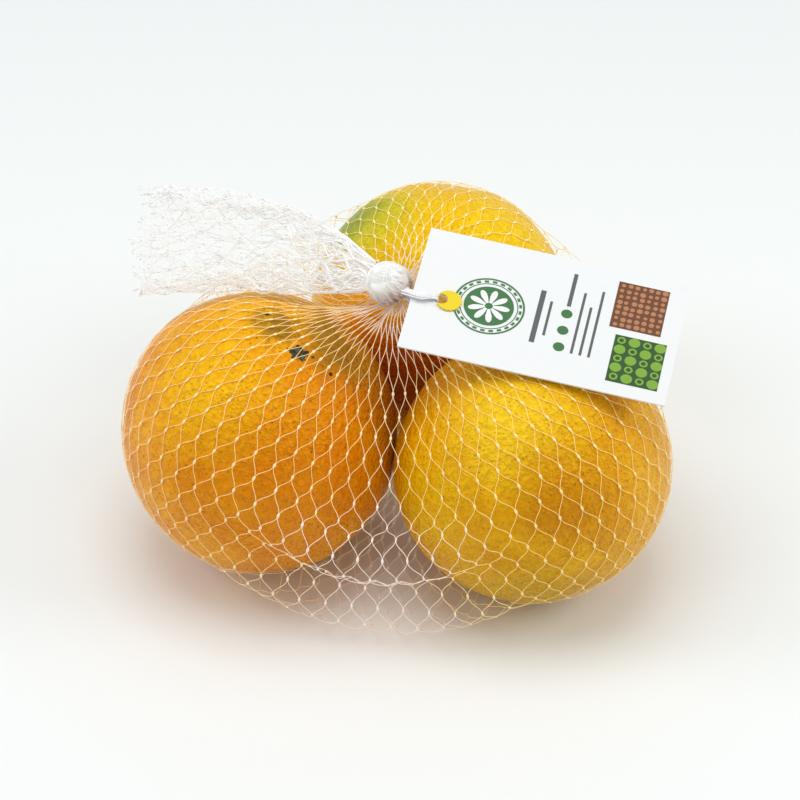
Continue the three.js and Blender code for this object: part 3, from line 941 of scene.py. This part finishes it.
def peel_material(name, looks):
    """Waxy citrus peel. looks gives its colours and the places of its blotches. Painted light and shade lie
    on its pebbles, in its pits and in some blotches.
    """
    material, tree, shader = new_material(f"peel_{name}")
    where = tree.add("ShaderNodeAttribute", attribute_name="peel").outputs["Vector"]

    def patch(direction, radius, core, grain, ragged):
        values = {"Where": where, "Middle": own_point(name, direction), "Radius": radius * MM}
        values |= {"Core": core, "Grain": grain, "Raggedness": ragged}
        return tree.placed(blotch(), values)["Mask"]

    mottle = tree.ramp(tree.noise(where, 55.0, 4.0, 0.55), 0.36, 0.66)
    colour = tree.mix(mottle, opaque(looks["deep"]), opaque(looks["light"]))
    for tint, direction, radius, core, grain, ragged, share in looks["patches"]:
        mask = patch(direction, radius, core, grain, ragged)
        colour = tree.mix(tree.math("MULTIPLY", mask, share), colour, opaque(tint))
    peel = tree.placed(pitted_peel(), {"Where": where, "Spacing": looks["spacing"] * MM})
    # painted light and shade: the peel is coloured lighter on its pebbles and darker between them
    pebble_light_and_shade = tree.mix(peel["Swell"], PEEL_HOLLOW_SHADE, PEEL_PEBBLE_HIGHLIGHT)
    # painted shade: the pits are darkened toward the pit colour
    pit_shade = tree.math("MULTIPLY", peel["Pit"], PEEL_PIT_SHADE)
    colour = tree.mix(pit_shade, tree.multiplied(colour, pebble_light_and_shade), opaque(looks["pit"]))
    for scale, amount, size, direction, radius in looks["specks"]:
        sizes = {"Where": where, "Scale": scale, "Amount": amount, "Size": size}
        dots = tree.placed(specks(), sizes)["Mask"]
        near = patch(direction, radius, *SPECK_EDGE)
        colour = tree.mix(tree.math("MULTIPLY", dots, near), colour, opaque(looks["speck"]))
    sockets = {"Base Color": colour, "Roughness": tree.rough(peel["Pit"], 0.15, 0.27)}
    sockets |= {"Specular IOR Level": 0.3, "Specular Tint": PEEL_GLINT}
    tree.put(shader, {**sockets, "Normal": tree.bump(peel["Height"], looks["relief"] * MM)})
    return material


PEEL_HOLLOW_SHADE = (0.95, 0.91, 0.82, 1)  # painted shade: what the peel's colour is multiplied by between its pebbles
PEEL_PEBBLE_HIGHLIGHT = (1.04, 1.06, 1.08, 1)  # painted highlight: and on them
# painted shade: how far the pits are darkened toward the pit colour
PEEL_PIT_SHADE = 0.3
PEEL_GLINT = (1.0, 0.76, 0.3, 1)  # waxy peel tints what it reflects
SPECK_EDGE = (0.5, 60.0, 1.2)  # core, grain and raggedness of the places that have specks

# Directions are in the frame's axes. A patch is (colour, direction, radius, core, grain, raggedness,
# share), and a place with specks is (cells per metre, amount, size, direction, radius).
# Each fruit's pit colour is painted shade in its pits. Patches marked below as painted light or painted
# shade stand in for how light falls; the others are the peel's own colour.
PEELS = {
    "left": {
        "light": (250, 174, 4),
        "deep": (238, 146, 0),
        "pit": (176, 84, 0),
        "speck": (70, 48, 12),
        "spacing": 1.15,
        "relief": 1.4,
        "patches": [
            # painted light: lighter yellow on the top, against the tail's shadow
            ((250, 190, 8), (0.05, 0.35, 0.93), 30, 0.3, 50, 0.5, 0.7),
            ((226, 128, 0), (0.30, -0.90, 0.25), 52, 0.2, 50, 0.6, 0.75),
            # painted light: brighter yellow on the upper front, where the light from above is strongest
            ((254, 196, 12), (-0.35, -0.42, 0.84), 33, 0.2, 50, 0.5, 0.7),
            # painted shade: darker orange brown on the side that faces the gap to the right fruit
            ((182, 112, 12), (0.93, 0.0, 0.25), 28, 0.3, 50, 0.4, 0.75),
            ((150, 116, 30), (0.57, -0.04, 0.82), 17, 0.2, 150, 1.3, 0.75),
            ((140, 104, 22), (0.16, -0.02, 0.99), 10, 0.3, 220, 2.0, 0.8),
        ],
        "specks": [
            (360, 0.3, 0.6, (0.45, -0.35, 0.80), 32),
            (220, 0.25, 0.5, (0.5, -0.8, 0.2), 42),
            (560, 0.5, 0.45, (0.30, -0.10, 0.95), 17),
            (380, 0.6, 0.62, (0.17, -0.04, 0.98), 12),
            (330, 0.5, 0.55, (0.60, -0.20, 0.77), 15),
        ],
    },
    "right": {
        "light": (240, 178, 0),
        "deep": (228, 156, 0),
        "pit": (186, 112, 0),
        "speck": (84, 66, 8),
        "spacing": 1.1,
        "relief": 1.3,
        "patches": [
            ((204, 162, 0), (0.0, -0.72, -0.60), 38, 0.2, 60, 0.7, 0.8),
            # painted light: brighter yellow on the upper front, where the light from above is strongest
            ((255, 214, 36), (-0.20, -0.45, 0.85), 32, 0.1, 60, 0.5, 0.8),
            ((236, 186, 4), (-0.75, -0.60, 0.15), 26, 0.2, 50, 0.5, 0.7),
            ((208, 130, 2), (0.20, -0.90, 0.42), 24, 0.2, 60, 0.8, 0.7),
            # painted light: lighter on the right side, where the right lamp falls
            ((246, 182, 6), (0.79, -0.46, 0.40), 20, 0.2, 60, 0.5, 0.6),
        ],
        "specks": [
            (380, 0.3, 0.45, (0.10, -0.92, 0.38), 17),
            (300, 0.2, 0.4, (0.2, -0.95, -0.1), 26),
        ],
    },
    "back": {
        "light": (247, 205, 6),
        "deep": (248, 190, 2),
        "pit": (204, 140, 0),
        "speck": (80, 84, 20),
        "spacing": 1.1,
        "relief": 1.1,
        "patches": [
            ((244, 172, 0), (-0.70, -0.60, 0.35), 26, 0.3, 50, 0.5, 0.85),
            # painted shade: deep red orange on the front, down in the gap between the fruits
            ((184, 70, 2), (-0.15, -0.97, 0.1), 32, 0.35, 50, 0.4, 0.9),
            # painted light: brighter yellow on the upper right, where the light falls
            ((255, 216, 14), (0.53, -0.17, 0.83), 26, 0.3, 50, 0.4, 0.7),
            ((208, 202, 34), (-0.60, 0.08, 0.80), 25, 0.3, 70, 0.7, 0.9),
            ((126, 156, 16), (-0.68, 0.22, 0.70), 17, 0.2, 90, 0.9, 0.8),
        ],
        "specks": [(320, 0.2, 0.4, (-0.4, 0.1, 0.9), 30)],
    },
}


def stem_material():
    """Dry woody stem scar: near black with paler ridges."""
    material, tree, shader = new_material("stem_scar")
    grain = clouded(tree, 700.0)
    colour = tree.mix(tree.ramp(grain, 0.4, 0.72), opaque((28, 30, 22)), opaque((128, 126, 96)))
    tree.put(shader, {"Base Color": colour, "Roughness": 0.75, "Normal": tree.bump(grain, 0.4 * MM)})
    return material


def tie_material():
    """White plastic with faint cloudiness."""
    material, tree, shader = new_material("tie_film")
    cloud = clouded(tree, 300.0)
    colour = tree.mix(tree.ramp(cloud, 0.3, 0.7), opaque((232, 234, 238)), opaque((252, 252, 252)))
    sockets = {"Base Color": colour, "Roughness": tree.rough(cloud, 0.15, 0.23), "IOR": 1.45}
    tree.put(shader, {**sockets, "Normal": tree.bump(cloud, 0.06 * MM)})
    return material


def paper_material(name, colour, roughness=0.5):
    """Smooth coated card or ink on it, with the faintest fibre."""
    material, tree, shader = new_material(name)
    fibre = clouded(tree, 900.0)
    shade = (*(0.93 * light(colour)), 1.0)
    sockets = {"Base Color": tree.mix(fibre, shade, opaque(colour))}
    sockets |= {"Roughness": tree.rough(fibre, 0.1, roughness), "Normal": tree.bump(fibre, 0.03 * MM)}
    tree.put(shader, sockets)
    return material


# --- pieces ---------------------------------------------------------------------------------------


def stem_axes(name):
    """A fruit's way out at its stem, and two ways across it."""
    stem = unit(np.array(STEMS[name]))
    side = unit(np.cross(stem, [0.3, 1, 0.1]))
    return stem, side, np.cross(stem, side)


def hollow(distance, depth, width):
    """How deep a round hollow is at distances from its middle."""
    return depth * np.exp(-((distance / width) ** 2))


def make_fruit(name):
    """One orange, with its poles at the stem and the blossom end."""
    body = BODIES[name]
    polar = np.linspace(0, np.pi, FRUIT_RINGS + 1)
    polar[[0, -1]] = [1e-4, np.pi - 1e-4]
    turn = turns(FRUIT_SPOKES)
    directions = ways_round(polar, turn, stem_axes(name))
    own = directions @ body.turn
    reach = 1 / np.linalg.norm(own / body.radii, axis=-1)
    skin = own * reach[..., None]
    seed = SEED + 10 * (1 + list(FRUITS).index(name))
    relief = sum(
        height * waves(skin, length, count, seed + level)
        for level, (height, length, count) in enumerate(PEEL_SWELLS)
    )
    from_stem = polar[:, None] * body.radii.mean()
    furrows = 0.5 + 0.5 * np.cos(9 * turn + 1.5 * np.sin(2 * turn))[None]
    relief -= hollow(from_stem, *STEM_HOLLOW)
    relief -= furrows * hollow(from_stem - FURROWS_FROM_STEM, *FURROW_HOLLOW)
    relief -= hollow((np.pi - polar)[:, None] * body.radii.mean(), *BLOSSOM_HOLLOW)
    relief = np.minimum(relief, PEEL_HIGHEST)
    places = body.middle + directions * (reach + relief)[..., None]
    places[..., 2] = np.maximum(places[..., 2], FRUIT_CLEAR)
    faces = ring_faces(len(polar), FRUIT_SPOKES)
    return mesh_piece(
        f"orange_{name}", places, faces, peel_material(name, PEELS[name]), {"peel": skin * MM}
    )


def make_stem(name):
    """The scar where the stalk broke off: a low ragged button in the fruit's dimple."""
    body = BODIES[name]
    stem, side, front = stem_axes(name)
    foot = body.middle + stem * (1 / np.linalg.norm(stem @ body.turn / body.radii) - STEM_SUNK)
    turn = turns(STEM_SPOKES)
    lobes = 1 + 0.22 * np.cos(5 * turn) + 0.10 * np.cos(11 * turn + 1)
    places = []
    for ring, (out, up) in enumerate(STEM_PROFILE):
        wide = out * (1 + (lobes - 1) * min(1, ring / 6))
        round_it = np.stack([out * np.cos(turn), out * np.sin(turn), 0 * turn + ring], axis=-1)
        rough = 0.12 * waves(round_it, 1.3, 12, 5)
        across = np.outer(wide * np.cos(turn), side) + np.outer(wide * np.sin(turn), front)
        places.append(foot + across + np.outer(up + rough * (out < 3), stem))
    faces = ring_faces(len(STEM_PROFILE), STEM_SPOKES)
    return mesh_piece(f"stem_{name}", places, faces, stem_material())


def settings():
    return bpy.context.scene.net_of_oranges


def net_side():
    return round(settings().mesh_side / MM, 4)


def strand_radius():
    return settings().strand_width / MM / 2


def net_material():
    """The net's thin plastic, coloured along its strands by what shows through it, with a painted glow of
    that colour.
    """
    if "net_film" in bpy.data.materials:
        return bpy.data.materials["net_film"]
    material, tree, shader = new_material("net_film")
    cloud = clouded(tree, 260.0)
    tint = tree.add("ShaderNodeAttribute", attribute_name="tint").outputs["Color"]
    shade = tree.multiplied(tint, (0.95, 0.94, 0.92, 1))
    sockets = {"Base Color": tree.mix(tree.ramp(cloud, 0.3, 0.7), shade, tint)}
    # painted glow: the film emits its own colour a little, in place of light passing through it
    sockets |= {"Emission Color": tint, "Emission Strength": FILM_PAINTED_GLOW}
    sockets |= {"Roughness": tree.rough(cloud, 0.15, 0.26), "Normal": tree.bump(cloud, 0.04 * MM)}
    tree.put(shader, sockets)
    return material


def net_piece(name, shape, tints, *nodes):
    """A piece of the net from (points, faces) and the colour at each point."""
    points, faces = shape
    piece = mesh_piece(name, points, faces, net_material(), {"tint": tints})
    return dress(piece, "net_strand", *nodes)


def card_matrix():
    x, y, z = (math.radians(a) for a in CARD_TURN)
    turn = Matrix.Rotation(z, 4, "Z") @ Matrix.Rotation(y, 4, "Y") @ Matrix.Rotation(x, 4, "X")
    return Matrix.Translation(CARD_CORNER) @ turn


def on_card(points):
    """Points on the card, from its near left corner, as points of the frame."""
    place = np.array(card_matrix())
    return np.asarray(points, float) @ place[:3, :3].T + place[:3, 3]


def flat_plate(x0, y0, x1, y1):
    """A rectangle on the card, as a plate from height 0 to 1."""
    corners = [(x0, y0), (x1, y0), (x1, y1), (x0, y1)]
    points = np.array([(x, y, z) for z in (0, 1) for x, y in corners], float)
    faces = [(4, 5, 6, 7), (3, 2, 1, 0), (0, 1, 5, 4), (1, 2, 6, 5), (2, 3, 7, 6), (3, 0, 4, 7)]
    return points, np.array(faces)


def ring_band(x, y, inner, outer, start=0.0, end=2 * np.pi, count=60):
    """A flat band between two radii, given as an array or a number for each turn."""
    turn = np.linspace(start, end, count + 1)
    inner, outer = np.broadcast_to(inner, turn.shape), np.broadcast_to(outer, turn.shape)
    way = np.column_stack([np.cos(turn), np.sin(turn)])
    rims = [np.array([x, y]) + way * r[:, None] for r in (inner, outer, outer, inner)]
    heights = (1, 1, 0, 0)
    points = np.stack(
        [np.column_stack([rim, np.full(count + 1, h)]) for rim, h in zip(rims, heights)], axis=1
    )
    caps = [[3, 2, 1, 0], np.arange(4) + 4 * count]
    return points.reshape(-1, 3), np.concatenate([ring_faces(count + 1, 4), caps])


def print_piece(name, parts, colour, level=0):
    """Printed shapes of one colour, laid on the card."""
    points, faces = joined(*parts)
    low, high = INK * (0.4 + level), INK * (1.0 + level)
    points = points.copy()
    points[:, 2] = np.where(points[:, 2] > 0.5, high, low)
    piece = mesh_piece(name, on_card(points), faces, paper_material(f"ink_{name}", colour))
    piece.data.polygons.foreach_set("use_smooth", np.zeros(len(piece.data.polygons), bool))
    return dress(piece, "card")


# --- add-on ---------------------------------------------------------------------------------------


class NetOfOrangesSettings(bpy.types.PropertyGroup):
    """Sizes and colours of the net and its card."""

    mesh_side: FloatProperty(
        name="Mesh side", description="Length of one side of a net mesh", default=0.0075, unit="LENGTH"
    )
    strand_width: FloatProperty(
        name="Strand width", description="Thickness of a net strand", default=0.00021, unit="LENGTH"
    )
    print_green: FloatVectorProperty(
        name="Print green", description="Colour of the emblem on the card", subtype="COLOR_GAMMA",
        default=[c / 255 for c in PRINT_GREEN], min=0.0, max=1.0, size=3
    )
    light_power: FloatProperty(
        name="Soft light", description="Power of the light overhead", default=4.45, unit="POWER"
    )


class NET_OT_fruits(bpy.types.Operator):
    """Makes the three oranges and their stem scars"""

    bl_idname = "net_of_oranges.fruits"
    bl_label = "Oranges"

    def execute(self, context):
        for name in FRUITS:
            dress(make_fruit(name), "orange_peel", "filled_net")
            dress(make_stem(name), "orange_peel")
        return {"FINISHED"}


class NET_OT_bag(bpy.types.Operator):
    """Lets the net settle round the oranges and makes its strands and welds"""

    bl_idname = "net_of_oranges.bag"
    bl_label = "Net"

    def execute(self, context):
        nodes = settled_net(net_side())
        radius = strand_radius()
        for name, lean in (("net_strands_right", 1), ("net_strands_left", -1)):
            paths = lay_on_fruits(net_paths(nodes, lean, BAG_BOW), radius + STRAND_CLEAR)
            radii = bunched(paths, radius, GATHER, BAG_BUNCHED)
            shape = tubes(paths, outward_at(paths), radii, STRAND_SIDES)
            net_piece(name, shape, film_tints(shape[0], 0.0), "filled_net")
        inner = slice(4, -1)  # the first rows are gathered too tightly to show single welds
        middles = lay_on_fruits(nodes[inner].reshape(-1, 3).copy(), WELD_SIZE[2])
        welds = beads(middles, mesh_axes(nodes)[inner].reshape(-1, 3), outward_at(middles), WELD_SIZE)
        welds[0][:, 2] = np.maximum(welds[0][:, 2], WELD_CLEAR)
        net_piece("net_welds", welds, film_tints(welds[0], 0.2), "filled_net")
        return {"FINISHED"}


class NET_OT_tail(bpy.types.Operator):
    """Makes the cut end of the net, fanned out behind the knot"""

    bl_idname = "net_of_oranges.tail"
    bl_label = "Tail"

    def execute(self, context):
        def upward(points):
            return np.broadcast_to(TAIL_UPWARD, points.shape)

        nodes = tail_nodes(net_side())
        radius = strand_radius()
        parts = []
        for lean in (1, -1):
            paths = net_paths(nodes, lean, TAIL_BOW)
            radii = bunched(paths, radius, KNOT, TAIL_BUNCHED)
            parts.append(tubes(paths, upward(paths), radii, STRAND_SIDES))
        cone = cone_paths()
        shape = joined(*parts, tubes(cone, upward(cone), radius, STRAND_SIDES))
        # painted shade: near the knot the tail takes the film's warm, darker colours
        from_knot = np.linalg.norm(shape[0] - KNOT, axis=-1, keepdims=True)
        cover = 1 - TAIL_KNOT_SHADE[0] * np.exp(-from_knot / TAIL_KNOT_SHADE[1])
        # painted light: the tail's strands are coloured lighter than the film
        net_piece("tail_strands", shape, TAIL_PAINTED_LIGHTER * film_tints(shape[0], cover), "net_tail")
        inner = slice(2, None)
        middles = nodes[inner].reshape(-1, 3)
        along = mesh_axes(nodes)[inner].reshape(-1, 3)
        welds = beads(middles, along, upward(middles), np.array(WELD_SIZE) * TAIL_WELD_SHARE)
        # painted shade on the tail's welds
        net_piece("tail_welds", welds, TAIL_WELD_SHADE * film_tints(welds[0], 1.0), "net_tail")
        return {"FINISHED"}


class NET_OT_knot(bpy.types.Operator):
    """Makes the knot: a firm core with the net's strands wound over it"""

    bl_idname = "net_of_oranges.knot"
    bl_label = "Knot"

    def execute(self, context):
        rings, spokes = 40, 60
        polar = np.linspace(1e-3, np.pi - 1e-3, rings)
        directions = ways_round(polar, turns(spokes), np.roll(np.eye(3), 1, axis=0))
        lumps = 1 + 0.04 * waves(directions, 0.9, 20, SEED) + 0.02 * waves(directions, 0.35, 30, SEED)
        places = on_knot(directions, KNOT_CORE_RADIUS * lumps)
        core = places, ring_faces(rings, spokes)
        # the core is painted with more shade than the strands over it
        net_piece("knot_core", core, knot_shade_tints(places, 0.7), "net_knot")
        paths = knot_paths()
        radius = KNOT_STRAND_SHARE * strand_radius()
        strands = tubes(paths, unit(paths - KNOT), radius, STRAND_SIDES)
        net_piece("knot_strands", strands, knot_shade_tints(strands[0], 0.0), "net_knot")
        return {"FINISHED"}


class NET_OT_card(bpy.types.Operator):
    """Gives the card its paper and a generic print, and gives its ring a yellow finish"""

    bl_idname = "net_of_oranges.card"
    bl_label = "Card"

    def execute(self, context):
        for node, material in (
            ("card", paper_material("card_white", CARD_WHITE)),
            ("card_ring", paper_material("ring_yellow", RING_YELLOW, 0.4)),
        ):
            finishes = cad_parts[node].data.materials
            finishes.clear()
            finishes.append(material)
        green = 255 * np.array(settings().print_green)
        emblem = [ring_band(*EMBLEM, inner, outer) for inner, outer in EMBLEM_RINGS]
        for middle in turns(EMBLEM_DASHES):
            start, end = middle - DASH_HALF, middle + DASH_HALF
            emblem.append(ring_band(*EMBLEM, *DASH_RADII, start, end, 3))
        emblem += [ring_band(*dot, 0.0, GREEN_DOT_RADIUS, count=24) for dot in GREEN_DOTS]
        print_piece("emblem", emblem, green)
        petals = []
        for middle in turns(EMBLEM_PETALS):
            turn = np.linspace(middle - PETAL_HALF, middle + PETAL_HALF, 13)
            bulge = np.sqrt(np.maximum(np.cos((turn - middle) / PETAL_HALF * np.pi / 2), 0))
            petals.append(ring_band(*EMBLEM, 1.2, 1.4 + 4.9 * bulge, turn[0], turn[-1], 12))
        print_piece("emblem_slices", petals, PRINT_WHITE, 1)
        print_piece("grey_lines", [flat_plate(*bar) for bar in GREY_BARS], PRINT_GREY)
        print_piece("nut_field", [flat_plate(*NUT_FIELD)], PRINT_BROWN)
        print_piece("leaf_field", [flat_plate(*LEAF_FIELD)], PRINT_DEEP_GREEN)
        draw = np.random.default_rng(SEED + 5)
        nuts, limes = [], []
        for across, along in np.ndindex(*NUT_COUNTS):
            place_x = NUT_FIRST[0] + NUT_PITCH[0] * across + draw.uniform(-0.2, 0.2)
            place_y = NUT_FIRST[1] + NUT_PITCH[1] * along + draw.uniform(-0.2, 0.2)
            nuts.append(ring_band(place_x, place_y, 0.0, draw.uniform(0.6, 0.95), count=12))
        for across, along in np.ndindex(*LIME_COUNTS):
            inner, outer = LIME_RADII[(across + along) % 2]
            place_x = LIME_FIRST[0] + LIME_PITCH[0] * across
            place_y = LIME_FIRST[1] + LIME_PITCH[1] * along
            limes.append(ring_band(place_x, place_y, inner, outer, count=20))
        print_piece("nut_dots", nuts, PRINT_TAN, 1)
        print_piece("lime_discs", limes, PRINT_LIME, 1)
        return {"FINISHED"}


class NET_OT_tie(bpy.types.Operator):
    """Makes the flat band of clear strands that holds the card to the knot"""

    bl_idname = "net_of_oranges.tie"
    bl_label = "Tie"

    def execute(self, context):
        x, y = HOLE
        marks = on_card(  # over the card to its hole, through it and back below
            [(0, y - 1.6, 1.6), (2.4, y - 1.3, 1.5), (5.0, y - 0.6, 1.2), (7.0, y - 0.1, 0.8),
             (x - 1.1, y, -0.3), (6.6, y, -2.0), (4.6, y - 0.6, -3.0), (2.4, y - 1.2, -3.2)]
        )
        first = KNOT + unit(marks[0] - KNOT) * (KNOT_RADIUS - 1)
        last = KNOT + unit(marks[-1] - KNOT) * (KNOT_RADIUS - 1)
        line = smooth_line(np.concatenate([[first], marks[1:-1], [last]]), 8)
        share = np.linspace(-1, 1, len(line))
        spread = TIE_SPREAD[1] + (TIE_SPREAD[0] - TIE_SPREAD[1]) * share**2
        draw = np.random.default_rng(SEED + 3)
        paths = []
        for place in np.linspace(-1, 1, TIE_STRANDS):
            sway = 0.12 * np.sin(draw.uniform(2, 5) * share + draw.uniform(0, 6))
            lift = 0.16 * np.cos(draw.uniform(2, 5) * share + draw.uniform(0, 6))
            offset = np.stack([0 * share, place * spread + sway, 0.2 * (1 - place**2) + lift], axis=-1)
            paths.append(line + offset)
        paths = np.array(paths)
        strands = tubes(paths, np.broadcast_to([0.0, 0.0, 1.0], paths.shape), TIE_RADIUS, 8)
        dress(mesh_piece("card_tie_strands", *strands, tie_material()), "tie_strand", "card_tie")
        return {"FINISHED"}


class NET_OT_stage(bpy.types.Operator):
    """Makes the pale floor, the soft light and the camera"""

    bl_idname = "net_of_oranges.stage"
    bl_label = "Stage"

    def execute(self, context):
        scene = context.scene
        material, tree, shader = new_material("pale_floor")
        tree.put(shader, {"Base Color": opaque(FLOOR_COLOUR), "Roughness": 0.6})
        mesh_piece("floor", FLOOR_CORNERS, [[0, 1, 2, 3]], material)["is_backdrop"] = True
        world = bpy.data.worlds.new("studio")
        world.use_nodes = True
        sky = {"Color": SKY_COLOUR, "Strength": SKY_STRENGTH}
        Tree(world.node_tree).put(world.node_tree.nodes["Background"], sky)
        scene.world = world
        for name, place, size, share in LAMPS:
            lamp = bpy.data.lights.new(name, "AREA")
            lamp.shape = "DISK"
            lamp.size = size
            lamp.energy = settings().light_power * share
            lamp.color = LAMP_COLOUR
            holder = bpy.data.objects.new(name, lamp)
            holder.location = place
            aim = LAMPS_AIM_AT - Vector(place)
            holder.rotation_euler = aim.to_track_quat("-Z", "Y").to_euler()
            scene.collection.objects.link(holder)
        lens = bpy.data.cameras.new("camera")
        lens.lens = CAMERA_LENS
        lens.sensor_width = 36
        lens.clip_end = 20
        camera = bpy.data.objects.new("camera", lens)
        lean = math.radians(CAMERA_ELEVATION)
        back = Vector((0, -math.cos(lean), math.sin(lean)))
        camera.location = (CAMERA_LOOKS_AT + back * CAMERA_DISTANCE) * MM
        camera.rotation_euler = (math.pi / 2 - lean, 0, 0)
        scene.collection.objects.link(camera)
        scene.camera = camera
        scene.view_settings.view_transform = "Standard"
        return {"FINISHED"}


OPERATORS = (NET_OT_stage, NET_OT_fruits, NET_OT_bag, NET_OT_knot, NET_OT_tail, NET_OT_card, NET_OT_tie)


class NET_PT_panel(bpy.types.Panel):
    bl_label = "Net of oranges"
    bl_idname = "NET_PT_panel"
    bl_space_type = "VIEW_3D"
    bl_region_type = "UI"
    bl_category = "Net of oranges"

    def draw(self, context):
        for key in ("mesh_side", "strand_width", "print_green", "light_power"):
            self.layout.prop(context.scene.net_of_oranges, key)
        for operator in OPERATORS:
            self.layout.operator(operator.bl_idname)


CLASSES = (NetOfOrangesSettings, *OPERATORS, NET_PT_panel)


def register():
    for cls in CLASSES:
        bpy.utils.register_class(cls)
    bpy.types.Scene.net_of_oranges = PointerProperty(type=NetOfOrangesSettings)


def unregister():
    del bpy.types.Scene.net_of_oranges
    for cls in reversed(CLASSES):
        bpy.utils.unregister_class(cls)


def main():
    register()
    for operator in OPERATORS:
        step = getattr(bpy.ops.net_of_oranges, operator.bl_idname.split(".")[1])
        step()
    boxes = {"cad": CAD_BOX, "visual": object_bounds()}
    boxes = {name: [list(corner) for corner in box] for name, box in boxes.items()}


if __name__ == "__main__":
    main()
